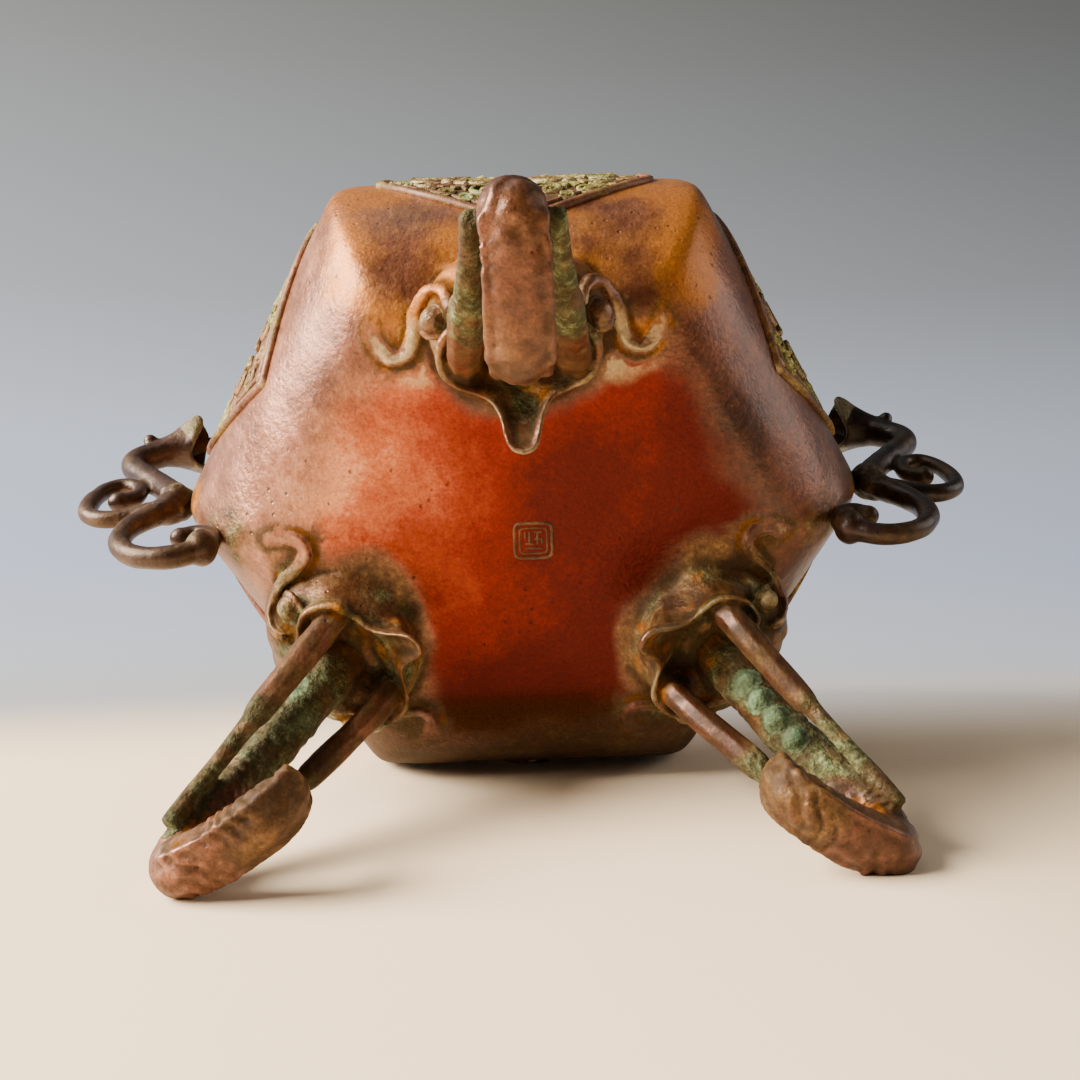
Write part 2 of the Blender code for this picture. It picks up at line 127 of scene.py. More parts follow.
# %% Start and end of a tree
def new_tree(name, **sizes):
    """A tree with geometry in and out, a material, and an input of a kind and value for each size."""
    tree = bpy.data.node_groups.new(name, "GeometryNodeTree")
    ends = [("Geometry", "Geometry", None)] + [(label.replace("_", " "), *size) for label, size in sizes.items()]
    for label, kind, value in ends + [("Material", "Material", None)]:
        socket = tree.interface.new_socket(label, in_out="INPUT", socket_type="NodeSocket" + kind)
        if value is not None:
            socket.default_value = value
    tree.interface.new_socket("Geometry", in_out="OUTPUT", socket_type="NodeSocketGeometry")
    w = Wiring(tree)
    return w, w.node("NodeGroupInput").outputs


def end_tree(w, given, geometry):
    plain = w.node("GeometryNodeRealizeInstances", {"Geometry": geometry})
    painted = w.node("GeometryNodeSetMaterial", {"Geometry": plain.outputs[0], "Material": given["Material"]})
    w.node("NodeGroupOutput", {0: painted.outputs[0]})
    return w.tree


print("a tree ends in Realize Instances and Set Material")

# %% [markdown]
# ## Helpers for meshes
# A mesh is easiest to work on as plain arrays of points, so a few functions read and write the numbers on
# them. The shares between 0 and 1 that most forms and colours need come from mix, smoothstep and fading.


# %% Helpers for meshes
def mix(low, high, share):
    return low + (high - low) * share


def smoothstep(low, high, value):
    share = np.clip((value - low) / (high - low), 0, 1)
    return share * share * (3 - 2 * share)


def most(*values):
    return np.maximum.reduce(np.broadcast_arrays(*values))


def read(mesh, name):
    values = np.zeros(len(mesh.vertices), np.float32)
    mesh.attributes[name].data.foreach_get("value", values)
    return values


def write(mesh, name, values):
    layer = mesh.attributes.get(name) or mesh.attributes.new(name, "FLOAT", "POINT")
    layer.data.foreach_set("value", np.asarray(values, np.float32))


def plain_mesh(name, spots, edges=(), faces=(), **marks):
    """A mesh from its points, with a number on each point for every mark."""
    mesh = bpy.data.meshes.new(name)
    mesh.from_pydata([tuple(spot) for spot in spots], list(edges), list(faces))
    for label, values in marks.items():
        write(mesh, label, values)
    return mesh


def fading(low, high, value):
    return 1 - smoothstep(low, high, value)


def distance(spots, *middle):
    return np.linalg.norm(spots - np.array(middle, float), axis=1)


def new_object(name, mesh):
    made = bpy.data.objects.new(name, mesh)
    bpy.context.scene.collection.objects.link(made)
    return made


def baked(thing):
    """The object's mesh with its modifiers applied. The object itself is removed."""
    bpy.context.view_layer.update()
    graph = bpy.context.evaluated_depsgraph_get()
    mesh = bpy.data.meshes.new_from_object(thing.evaluated_get(graph))
    bpy.data.objects.remove(thing, do_unlink=True)
    return mesh


print("smoothstep at a quarter, a half and three quarters:", smoothstep(0, 1, np.array([0.25, 0.5, 0.75])).round(2))

# %% [markdown]
# ## From nodes to plain meshes
# The export drops instances and whatever still hangs on a modifier, so each tree is run once and only its
# mesh is kept. Its doubles are merged and its faces turned outwards straight away.


# %% Run a tree of nodes
WELD = 0.0005


def run_tree(name, mesh, tree, sizes):
    """Runs a Geometry Nodes tree on a mesh, with its sizes set by name, and returns the plain result."""
    thing = new_object(name, mesh)
    modifier = thing.modifiers.new(name, "NODES")
    modifier.node_group = tree
    for item in tree.interface.items_tree:
        if item.item_type == "SOCKET" and item.in_out == "INPUT" and item.name in sizes:
            modifier[item.identifier] = sizes[item.name]
    return baked(thing)


def cleaned(mesh, reach=WELD):
    """Welds doubles and turns every face outwards."""
    body = bmesh.new()
    body.from_mesh(mesh)
    bmesh.ops.remove_doubles(body, verts=body.verts, dist=reach)
    bmesh.ops.dissolve_degenerate(body, edges=body.edges, dist=reach / 10)
    bmesh.ops.recalc_face_normals(body, faces=body.faces)
    body.to_mesh(mesh)
    body.free()
    return mesh


print("points closer than", WELD, "mm are welded")

# %% [markdown]
# ## Points, copies and counts
# NumPy works on all points of a mesh at once, so the points are read into one array and set again from it.
# Whole meshes are turned about the axis, joined and counted by short functions too.


# %% Points, copies and counts
def points_of(mesh):
    spots = np.zeros(len(mesh.vertices) * 3)
    mesh.vertices.foreach_get("co", spots)
    return spots.reshape(-1, 3)


def normals_of(mesh):
    out = np.zeros(len(mesh.vertices) * 3, np.float32)
    mesh.vertex_normals.foreach_get("vector", out)
    return out.reshape(-1, 3).astype(float)


def set_points(mesh, spots):
    mesh.vertices.foreach_set("co", spots.astype(np.float32).ravel())
    mesh.update()


def turned(mesh, degrees):
    """A copy turned about the axis of the bowl."""
    made = mesh.copy()
    made.transform(Matrix.Rotation(math.radians(degrees), 4, "Z"))
    return made


def joined(meshes):
    """One mesh that holds all of the given ones."""
    body = bmesh.new()
    for mesh in meshes:
        body.from_mesh(mesh)
    made = bpy.data.meshes.new("joined")
    body.to_mesh(made)
    body.free()
    return made


def tri_count(mesh):
    mesh.calc_loop_triangles()
    return len(mesh.loop_triangles)


print("the front face of the bowl looks along -Y, and the next one is 60 degrees on")

# %% [markdown]
# ## Noise and smoothing on points
# Cast bronze is never quite even. NumPy can move a few hundred thousand points at once, which is faster
# than a loop in Python and needs no image. The noise is a lattice of fixed random numbers with smooth
# blending between them, so it's the same on every run.

# %% Noise and smoothing
LATTICE = np.random.default_rng(7).uniform(-1, 1, (32, 32, 32))


def noise(spots, size, seed=0.0):
    """Smooth noise from about -1 to 1 whose lumps are about `size` mm across."""
    place = spots / size + np.array([seed, seed * 1.7, seed * 0.6]) + 64
    cell = np.floor(place).astype(int)
    part = place - cell
    part = part * part * (3 - 2 * part)
    total = 0.0
    for corner in range(8):
        step = np.array([corner & 1, corner >> 1 & 1, corner >> 2 & 1])
        weight = np.prod(np.where(step, part, 1 - part), axis=1)
        i, j, k = ((cell + step) % 32).T
        total = total + weight * LATTICE[i, j, k]
    return total


def neighbours(mesh):
    ends = np.zeros(len(mesh.edges) * 2, int)
    mesh.edges.foreach_get("vertices", ends)
    ends = ends.reshape(-1, 2)
    return np.concatenate([ends[:, 0], ends[:, 1]]), np.concatenate([ends[:, 1], ends[:, 0]])


def averaged(values, links):
    """Each point's mean over its neighbours."""
    here, there = links
    count = np.maximum(np.bincount(here, minlength=len(values)), 1)
    columns = [np.bincount(here, values[there, axis], len(values)) / count for axis in range(values.shape[1])]
    return np.stack(columns, 1)


def relaxed(spots, links, rounds, weight=1.0):
    """Smooths points in place of a brush: the weight may be one number or one for each point."""
    weight = np.asarray(weight, float).reshape(-1, 1) * 0.6
    for _ in range(rounds):
        spots = spots + weight * (averaged(spots, links) - spots)
    return spots


print("noise from", LATTICE.min().round(2), "to", LATTICE.max().round(2))

# %% [markdown]
# ## The bowl
# The bowl is a hexagon whose edges are soft underneath and crisp above the belly. Its shape follows a
# rule: at every height there is one corner radius and one sharpness, and the outline between the corners
# follows from these two. A rule suits Geometry Nodes: a flat grid is bent round, where one way along the
# grid is the angle and the other runs along the profile. Float curves hold the radius, the height and the
# sharpness along that profile.

# %% The bowl's profile
BOTTOM_HEIGHT, BOTTOM_RADIUS = 47.9, 37.0
BELLY_HEIGHT, BELLY_RADIUS = 76.5, 59.8
SHOULDER_HEIGHT, SHOULDER_RADIUS = 116.0, 55.8
NECK_HEIGHT, NECK_RADIUS = 120.0, 50.5
RIM_HEIGHT, RIM_RADIUS, RIM_THICKNESS = 125.0, 52.3, 2.6
MOUTH_RADIUS = 47.3
WALL, FLOOR = 3.0, 3.4
BOTTOM_SHARPNESS, WALL_SHARPNESS, INSIDE_SHARPNESS = 9.0, 80.0, 38.0
LOWER_FULLNESS = 1.85


def lower_curve(share):
    swell = (1 - (1 - share) ** LOWER_FULLNESS) ** (1 / LOWER_FULLNESS)
    return mix(BOTTOM_RADIUS, BELLY_RADIUS, swell)


def wall_radius(height):
    """Corner radius of the outside, from the bottom to the shoulder."""
    height = np.asarray(height, float)
    low = np.clip((height - BOTTOM_HEIGHT) / (BELLY_HEIGHT - BOTTOM_HEIGHT), 0, 1)
    high = np.clip((height - BELLY_HEIGHT) / (SHOULDER_HEIGHT - BELLY_HEIGHT), 0, 1)
    return lower_curve(low) + (SHOULDER_RADIUS - BELLY_RADIUS) * high ** 1.5


def wall_sharpness(height):
    share = np.clip((np.asarray(height, float) - BOTTOM_HEIGHT) / (BELLY_HEIGHT - BOTTOM_HEIGHT), 0, 1)
    return mix(BOTTOM_SHARPNESS, WALL_SHARPNESS, share ** 0.45)


def hexagon(angle, corner_radius, sharpness):
    """Distance from the axis to the soft hexagon at an angle, for arrays."""
    def reach(direction):
        total = 0.0
        for face in range(6):
            facing = np.maximum(np.cos(direction - math.radians(30 + 60 * face)), 1e-6)
            total = total + facing ** sharpness
        return total ** (-1 / sharpness)
    return corner_radius * reach(angle) / reach(np.zeros_like(angle))


def outside_profile():
    """Rows of (radius, height, sharpness) from the middle of the bottom up to the middle of the rim."""
    rows = [(0.0, BOTTOM_HEIGHT, 2.5), (BOTTOM_RADIUS * 0.5, BOTTOM_HEIGHT, 4.0)]
    rows += [(BOTTOM_RADIUS * 0.96, BOTTOM_HEIGHT + 0.1, BOTTOM_SHARPNESS)]
    for share in np.linspace(0.12, 1, 16) ** 1.7:
        height = mix(BOTTOM_HEIGHT, BELLY_HEIGHT, share)
        rows.append((float(wall_radius(height)), height, float(wall_sharpness(height))))
    for share in np.linspace(0.1, 1, 8):
        height = mix(BELLY_HEIGHT, SHOULDER_HEIGHT, share)
        rows.append((float(wall_radius(height)), height, WALL_SHARPNESS))
    rows += [(mix(SHOULDER_RADIUS, NECK_RADIUS, 0.4), mix(SHOULDER_HEIGHT, NECK_HEIGHT, 0.75), WALL_SHARPNESS),
             (NECK_RADIUS, NECK_HEIGHT, WALL_SHARPNESS),
             (RIM_RADIUS, RIM_HEIGHT - RIM_THICKNESS, WALL_SHARPNESS),
             (RIM_RADIUS, RIM_HEIGHT, WALL_SHARPNESS), (0.0, RIM_HEIGHT, WALL_SHARPNESS)]
    return rows


def inside_profile():
    """Rows of the hollow, closed well above the rim so that the cut is clean."""
    floor = BOTTOM_HEIGHT + FLOOR
    rows = [(0.0, floor, 3.0), ((BOTTOM_RADIUS - WALL) * 0.94, floor, BOTTOM_SHARPNESS)]
    for share in np.linspace(0.12, 1, 12) ** 1.7:
        height = mix(floor, BELLY_HEIGHT, share)
        rows.append((float(lower_curve(share)) - WALL, height, float(wall_sharpness(height))))
    for share in np.linspace(0.2, 1, 5):
        height = mix(BELLY_HEIGHT, SHOULDER_HEIGHT - WALL, share)
        rows.append((float(wall_radius(height)) - WALL, height, WALL_SHARPNESS))
    rows += [(MOUTH_RADIUS, NECK_HEIGHT - WALL / 2, WALL_SHARPNESS), (MOUTH_RADIUS, RIM_HEIGHT + 4, WALL_SHARPNESS),
             (0.0, RIM_HEIGHT + 4, WALL_SHARPNESS)]
    return rows


print("profile of", len(outside_profile()), "rows outside and", len(inside_profile()), "inside")

# %% [markdown]
# ## Bending the grid
# The tree below reads the profile from three float curves and bends a flat grid round the axis. Its seam and
# the middle of each end are welded, so the outside and the hollow both come out as closed solids.

# %% The bowl's node tree
RADIUS_SCALE, HEIGHT_SCALE, SHARPNESS_SCALE = 64.0, 132.0, 90.0


def bowl_tree(name, rows):
    """A tree that bends a grid round into a hexagonal body of the given profile."""
    w, given = new_tree(name, Steps_Round=("Int", 360), Steps_Along=("Int", 160))
    grid = w.node("GeometryNodeMeshGrid", {"Size X": 1.0, "Size Y": 1.0, "Vertices X": given["Steps Round"],
                                           "Vertices Y": given["Steps Along"]})
    place = w.parted(w.node("GeometryNodeInputPosition").outputs[0])
    angle = w.times(w.add(place["X"], 0.5), 2 * math.pi)
    along = w.add(place["Y"], 0.5)
    lengths = [math.hypot(b[0] - a[0], b[1] - a[1]) for a, b in zip(rows, rows[1:])]
    shares = np.concatenate([[0], np.cumsum(lengths)]) / sum(lengths)
    held = []
    for column, scale in enumerate((RADIUS_SCALE, HEIGHT_SCALE, SHARPNESS_SCALE)):
        curve = w.node("ShaderNodeFloatCurve", {"Factor": 1.0, "Value": along})
        line = curve.mapping.curves[0]
        line.points[0].location = (0.0, rows[0][column] / scale)
        line.points[1].location = (1.0, rows[-1][column] / scale)
        for share, row in list(zip(shares, rows))[1:-1]:
            line.points.new(float(share), row[column] / scale)
        for point in line.points:
            point.handle_type = "VECTOR"
        curve.mapping.update()
        held.append(w.times(curve.outputs[0], scale))
    radius, height, sharpness = held

    def reach(direction):
        total = 0.0
        for face in range(6):
            facing = w.math("COSINE", w.less(direction, math.radians(30 + 60 * face)))
            total = w.add(total, w.math("POWER", w.most(facing, 1e-6), sharpness))
        return w.math("POWER", total, w.math("DIVIDE", -1.0, sharpness))

    out = w.times(radius, w.math("DIVIDE", reach(angle), reach(0.0)))
    spot = w.combined(w.times(out, w.math("COSINE", angle)), w.times(out, w.math("SINE", angle)), height)
    moved = w.node("GeometryNodeSetPosition", {"Geometry": grid.outputs[0], "Position": spot})
    welded = w.node("GeometryNodeMergeByDistance", {"Geometry": moved.outputs[0], "Distance": 0.002})
    return end_tree(w, given, welded.outputs[0])


def make_bowl(name, rows, steps_round, steps_along):
    made = run_tree(name, bpy.data.meshes.new(name), bowl_tree(name, rows),
                    {"Steps Round": steps_round, "Steps Along": steps_along})
    return cleaned(made, 0.004)


bowl_outside = make_bowl("bowl_outside", outside_profile(), 361, 200)
bowl_inside = make_bowl("bowl_inside", inside_profile(), 181, 84)
print("bowl", tri_count(bowl_outside), "triangles outside,", tri_count(bowl_inside), "inside")

# %% [markdown]
# ## Rods
# The trunks, tusks, brows and handles are all rods that follow a line and change thickness on the way. The
# real ones were rolled and cut in wax. Geometry Nodes turn a line of points, each with its own thickness,
# into such a rod, and the smooth line itself comes from a few stations.


# %% The rod's node tree
def smooth_stations(stations, count):
    """Evenly many points on a smooth curve through the stations, whatever they hold."""
    rows = np.array([stations[0]] + list(stations) + [stations[-1]], float)
    place = np.linspace(0, len(stations) - 1, count)
    span = np.minimum(place.astype(int), len(stations) - 2)
    share = (place - span)[:, None]
    a, b, c, d = (rows[span + step] for step in range(4))
    return b + (c - a) * share / 2 + (a - 2.5 * b + 2 * c - d / 2) * share ** 2 + (
        1.5 * b - a / 2 - 1.5 * c + d / 2) * share ** 3


def swept(w, given, line, thickness):
    """A line of edges as round rods with closed ends."""
    curve = w.node("GeometryNodeMeshToCurve", {"Mesh": line}).outputs[0]
    sized = w.node("GeometryNodeSetCurveRadius", {"Curve": curve, "Radius": thickness}).outputs[0]
    ring = w.node("GeometryNodeCurvePrimitiveCircle", {"Resolution": given["Sides"], "Radius": 1.0}).outputs[0]
    made = w.node("GeometryNodeCurveToMesh", {"Curve": sized, "Profile Curve": ring, "Fill Caps": True})
    if "Scale" in made.inputs:
        w.tree.links.new(thickness, made.inputs["Scale"])
    return made.outputs[0]


def make_rod_tree():
    w, given = new_tree("rod", Sides=("Int", 24))
    return end_tree(w, given, swept(w, given, given["Geometry"], w.named("thickness")))


ROD_TREE = make_rod_tree()


def rod(stations, count=0, sides=24, closed=False):
    """A rod through stations of (x, y, z, radius): smoothed to `count` points, or as they are."""
    rows = smooth_stations(stations, count) if count else np.array(stations, float)
    edges = [(i, i + 1) for i in range(len(rows) - 1)] + [(len(rows) - 1, 0)] * closed
    mesh = plain_mesh("rod", rows[:, :3], edges, thickness=rows[:, 3])
    return cleaned(run_tree("rod", mesh, ROD_TREE, {"Sides": sides}))


def bead(line, radius, sides, closed=False):
    """A thin rod along a ready line of points."""
    return rod(np.column_stack([line, np.broadcast_to(radius, len(line))]), 0, sides, closed)


def beside(line, offset, middle):
    """Rows moved sideways along a surface that faces away from a middle point."""
    spots = np.array(line, float)
    ahead = np.gradient(spots[:, :3], axis=0)
    out = spots[:, :3] - np.array(middle, float)
    aside = np.cross(ahead, out)
    moved = spots.copy()
    moved[:, :3] += aside / np.linalg.norm(aside, axis=1)[:, None] * offset
    return moved


print("rod tree of", len(ROD_TREE.nodes), "nodes")

# %% [markdown]
# ## Solids for the wax
# Eyes and buds are balls. The head changes its outline from the lip to the bowl, so it's lofted: rows of
# equally many points are joined by faces. What is open in the casting is cut out by a second solid.


# %% Balls, lofts and cuts
def ball(center, half, turn=None, segments=32, rings=20):
    """An ellipsoid."""
    mesh = bpy.data.meshes.new("ball")
    body = bmesh.new()
    bmesh.ops.create_uvsphere(body, u_segments=segments, v_segments=rings, radius=1.0)
    place = Matrix.Translation(Vector(center)) @ (turn or Matrix.Identity(4)) @ Matrix.Diagonal((*half, 1.0))
    bmesh.ops.transform(body, matrix=place, verts=body.verts)
    body.to_mesh(mesh)
    body.free()
    return mesh


def loft(rows):
    """A closed solid through rows of equally many points, with flat ends."""
    rows = np.array(rows)
    levels, count = rows.shape[:2]
    faces = []
    for level in range(levels - 1):
        for step in range(count):
            after = (step + 1) % count
            faces.append((level * count + step, level * count + after, (level + 1) * count + after,
                          (level + 1) * count + step))
    faces += [list(range(count))[::-1], [(levels - 1) * count + step for step in range(count)]]
    return cleaned(plain_mesh("loft", rows.reshape(-1, 3), faces=faces))


def cut(mesh, cutter, solver="EXACT"):
    """The first solid less the second."""
    base, other = new_object("cut_base", mesh), new_object("cutter", cutter)
    step = base.modifiers.new("cut", "BOOLEAN")
    step.operation, step.solver, step.object = "DIFFERENCE", solver, other
    made = baked(base)
    bpy.data.objects.remove(other, do_unlink=True)
    return made


print("the bowl's hollow leaves a wall of", WALL, "mm and a floor of", FLOOR, "mm")

# %% [markdown]
# ## An elephant's head
# Each head grows out of the lower bowl. Its lip is a thin collar round the open mouth: a pointed chin
# towards the middle of the bowl, and a round lobe about the root of each tusk. The trunk comes down behind
# the lip, curls at the ground and ends in a finger. The head is lofted from rows that change from the
# lip's outline to a plain oval where they enter the bowl, and the mouth is cut out with a smaller loft.

# %% The head, trunk and tusks
LEG_TURNS = (-1.2, 121.6, 240.0)
HEAD_OUT, LIP_HEIGHT, LIP_THICKNESS = 33.0, 38.0, 1.0
CHIN_DROP, MOUTH_DEPTH, MOUTH_BACK = 5.8, 5.4, 5.5
CHEEK_HALF_WIDTH, FOREHEAD_REACH, THROAT_REACH = 11.4, 12.6, 8.6
TUSK_ROOT, TUSK_TIP = (7.8, -31.8, 38.4), (4.8, -55.6, 7.8)
EYE = (12.0, -37.2, 42.9)
LIP = [(0.0, 13.4, 1.0), (1.6, 12.9, 0.92), (2.5, 11.2, 0.7), (3.1, 9.0, 0.42), (4.5, 6.9, 0.15),
       (7.2, 5.7, 0.0), (9.8, 4.6, 0.0), (11.5, 2.4, 0.0), (11.8, -0.4, 0.0), (10.4, -2.9, 0.0),
       (8.2, -4.6, -0.2), (6.4, -7.8, -0.4), (3.4, -10.4, -0.5), (0.0, -11.2, -0.5)]
TRUNK = [(0, -36.6, 47.9, 4.8), (0, -38.0, 41.0, 4.8), (0, -41.2, 33.0, 4.1), (0, -45.6, 25.0, 3.8),
         (0, -51.0, 17.0, 3.75), (0, -54.8, 10.4, 3.95), (0, -56.3, 6.6, 3.95), (0, -55.6, 4.1, 3.95),
         (0, -50.2, 3.5, 4.0), (0, -45.1, 4.0, 4.0), (0, -41.1, 5.5, 3.75), (0, -39.5, 8.2, 3.1),
         (0, -39.8, 10.9, 2.3), (0, -40.9, 13.0, 1.7)]


print("a head reaches from", -HEAD_OUT - FOREHEAD_REACH, "to", -HEAD_OUT + THROAT_REACH, "mm")

# %% [markdown]
# ## The head and its mouth
# Two lofts make the head. The rows of the outer one go from the lip's lobed edge to a plain oval inside the
# bowl, and the inner one does the same a lip's thickness further in.


# %% The head
def head_row(grow, lift, lip_share, back=30.0):
    """A row round the head: the lip's edge at share 1, an oval at share 0."""
    half = smooth_stations(LIP, 40)
    whole = np.concatenate([half, (half * (-1, 1, 1))[-2:0:-1]])
    across, inward, drop = whole.T
    turn = np.arctan2(across, inward)
    edge = np.hypot(across, inward) + grow
    depth = np.where(inward > 0, THROAT_REACH, FOREHEAD_REACH) + grow
    oval = 1 / np.hypot(np.sin(turn) / (CHEEK_HALF_WIDTH + grow), np.cos(turn) / depth)
    reach = mix(oval, edge, lip_share)
    out = HEAD_OUT + np.minimum(-reach * np.cos(turn), back)
    return np.stack([reach * np.sin(turn), -out, LIP_HEIGHT + lift - CHIN_DROP * drop * lip_share], 1)


def make_head():
    rise = BOTTOM_HEIGHT - LIP_HEIGHT
    rows = [head_row(0.0, 0.0, 1.0), head_row(0.15, 0.6, 1.0), head_row(-0.5, 0.2 * rise, 0.85),
            head_row(-0.6, 0.4 * rise, 0.5), head_row(0.2, 0.6 * rise, 0.2), head_row(0.8, 0.8 * rise, 0.05),
            head_row(1.6, rise, 0.0), head_row(2.4, rise + 5.0, 0.0)]
    hollow = [head_row(-LIP_THICKNESS, -2.0 * CHIN_DROP, 1.0, MOUTH_BACK),
              head_row(-LIP_THICKNESS, 0.2, 1.0, MOUTH_BACK),
              head_row(-LIP_THICKNESS - 1.0, 0.4 * MOUTH_DEPTH, 0.7, MOUTH_BACK),
              head_row(-LIP_THICKNESS - 4.0, MOUTH_DEPTH, 0.2, MOUTH_BACK)]
    return cut(loft(rows), loft(hollow))


print("a mouth", MOUTH_DEPTH, "mm deep behind a lip of", LIP_THICKNESS, "mm")

# %% [markdown]
# ## Eyes, brows and bumps
# The eye sits in a ring on a swollen temple. The brow is three beads that run side by side in one S, and
# one trunk carries a row of four bumps.


# %% Eyes, brows and bumps
CURL_MIDDLE = np.array([0.0, -48.6, 9.0])
BOWL_MIDDLE = np.array([0.0, 0.0, 78.0])
BROW = [(9.4, -39.4, 39.6), (10.6, -41.6, 42.8), (12.9, -41.2, 46.0), (14.9, -37.9, 47.6), (15.6, -34.2, 47.7),
        (17.0, -31.4, 47.6), (19.4, -31.0, 48.0), (21.4, -33.2, 48.9), (21.8, -35.2, 49.6)]
BROW_BEADS = ((-0.55, 0.46, 0.0), (0.62, 0.36, -0.1), (0.0, 0.55, -0.45))
FOOT_BEADS = ((0.90, 0.16, 0.5), (0.88, -0.58, 0.6))
EYE_RADIUS, RING_RADIUS, RING_THICKNESS = 1.9, 2.5, 0.32
TEMPLE, TEMPLE_SIZE, TEMPLE_FACING = (12.0, -39.2, 44.0), (7.4, 7.4, 5.0), (0.81, -0.29, -0.50)
BUMPED_LEG = 1
BUMPS = ((34.6, 2.0), (30.6, 1.95), (26.7, 1.9), (23.0, 1.7))


def bump_spot(height):
    """The middle of one of the bumps on the inner side of the right leg's trunk."""
    out = float(np.interp(-height, [-33.0, -25.0, -17.0], [41.2, 45.6, 51.0]))
    return np.array([-1.3, 2.9 - out, height - 1.8])


def make_eye(side):
    """An eye, the temple under it and the ring round it."""
    eye = np.array(EYE) * (side, 1, 1)
    facing = Vector((TEMPLE_FACING[0] * side, *TEMPLE_FACING[1:])).normalized()
    lean = facing.to_track_quat("Z", "Y").to_matrix().to_4x4()
    temple = Vector((TEMPLE[0] * side, *TEMPLE[1:])) - 5.3 * facing
    out = (eye - BOWL_MIDDLE) / np.linalg.norm(eye - BOWL_MIDDLE)
    first = np.cross(out, (0, 0, 1.0))
    first /= np.linalg.norm(first)
    second = np.cross(out, first)
    around = np.linspace(0, 2 * math.pi, 25)[:-1]
    circle = np.outer(np.cos(around), first) + np.outer(np.sin(around), second)
    ring = bead(eye - 0.9 * out + RING_RADIUS * circle, RING_THICKNESS, 8, True)
    return [ball(eye, (EYE_RADIUS, EYE_RADIUS, EYE_RADIUS)), ball(temple, TEMPLE_SIZE, lean), ring]


def make_brow(side):
    """Three beads side by side, widest apart at their middle."""
    brow = smooth_stations(np.array(BROW) * (side, 1, 1), 60)
    width = 0.7 + 0.3 * np.sin(math.pi * np.linspace(0, 1, 60))
    beads = []
    for offset, radius, lift in BROW_BEADS:
        line = brow + (beside(brow, 1.0, BOWL_MIDDLE) - brow) * (offset * side * width)[:, None]
        line = line + lift * (line - BOWL_MIDDLE) / 55.0
        beads.append(bead(line, radius, 10))
    return beads


print("brow of", len(BROW), "stations,", len(BUMPS), "bumps on one trunk")

# %% [markdown]
# ## One leg
# Round the head come the trunk, two tusks with a nib at their middle, the eyes and the brows. Thin beads
# along the lip and the curled foot give them the edges that the wax had.


# %% One leg
def foot_edge(side, across, inset):
    """A line along one side of the curled foot, placed by shares of the foot's radius."""
    sole = smooth_stations(TRUNK, 160)[88:]
    inward = CURL_MIDDLE - sole[:, :3]
    inward /= np.linalg.norm(inward, axis=1)[:, None]
    edge = sole[:, :3] + inward * inset * sole[:, 3:]
    edge[:, 0] += side * across * sole[:, 3]
    return edge


def make_tusk(side, number):
    """A seven-sided tusk with a nib half way down. The front leg's are the thickest."""
    flip = np.array([side, 1, 1, 1])
    root, tip = np.array([*TUSK_ROOT, 2.55]) * flip, np.array([*TUSK_TIP, 1.45]) * flip
    socket = root + np.array([-0.6 * side, -0.8, 7.5, 0])
    thick, nib, thin = mix(root, tip, 0.44), mix(root, tip, 0.50), mix(root, tip, 0.60)
    thick[3], nib[3], thin[3] = (2.5, 2.15, 1.95) if number == 0 else (2.35, 1.95, 1.7)
    return rod([socket, root, thick, nib, thin, tip], 70, 7)


def make_leg(number):
    """All solids of one leg, in the front leg's place."""
    solids = [make_head(), rod(TRUNK, 120, 32)]
    lip = head_row(-0.35, 0.0, 1.0)
    solids.append(bead(lip, np.where(lip[:, 1] < -HEAD_OUT + 14.0, 0.48, 0.36), 10, True))
    for side in (-1, 1):
        solids += [make_tusk(side, number), *make_eye(side), *make_brow(side)]
        for across, inset, radius in FOOT_BEADS:
            solids.append(bead(foot_edge(side, across, inset), radius, 10))
    if number == BUMPED_LEG:
        for height, size in BUMPS:
            solids.append(ball(bump_spot(height), (size, size, size)))
    return joined(solids)


legs = [turned(make_leg(number), turn) for number, turn in enumerate(LEG_TURNS)]
print("three legs,", sum(tri_count(leg) for leg in legs), "triangles before they are fused")

# %% [markdown]
# ## One casting
# The bowl and its legs are one piece of bronze, with soft fillets where they meet. The solids are fused
# with a voxel remesh, which leaves a sharp crease at each meeting, so the points near the meetings are
# relaxed more than the rest. At the end the mesh is thinned, which keeps small triangles only where the
# form is fine.


# %% Fuse the casting
def remeshed(mesh, voxel):
    thing = new_object("remesh", mesh)
    step = thing.modifiers.new("remesh", "REMESH")
    step.mode, step.voxel_size, step.adaptivity = "VOXEL", voxel, 0.0
    return baked(thing)


def thinned(mesh, triangles):
    total = tri_count(mesh)
    if total <= triangles:
        return mesh
    thing = new_object("thin", mesh)
    step = thing.modifiers.new("thin", "DECIMATE")
    step.ratio, step.use_collapse_triangulate = triangles / total, True
    return baked(thing)


def in_leg(spots, turn):
    """Points in the front leg's own directions: across, outwards along -Y, height."""
    angle = math.radians(-turn)
    x = spots[:, 0] * math.cos(angle) - spots[:, 1] * math.sin(angle)
    y = spots[:, 0] * math.sin(angle) + spots[:, 1] * math.cos(angle)
    return np.stack([x, y, spots[:, 2]], 1)


def each_leg(spots):
    """The number of each leg, and the points in that leg's own directions."""
    return [(number, in_leg(spots, turn)) for number, turn in enumerate(LEG_TURNS)]


def nearest_on(line, spots):
    """Distance from each point to a dense line, and the length along it, in mm."""
    steps = np.concatenate([[0], np.cumsum(np.linalg.norm(np.diff(line[:, :3], axis=0), axis=1))])
    best, where = np.full(len(spots), 1e9), np.zeros(len(spots), int)
    for index, spot in enumerate(line[:, :3]):
        away = np.linalg.norm(spots - spot, axis=1)
        closer = away < best
        best[closer], where[closer] = away[closer], index
    return best, steps[where], where


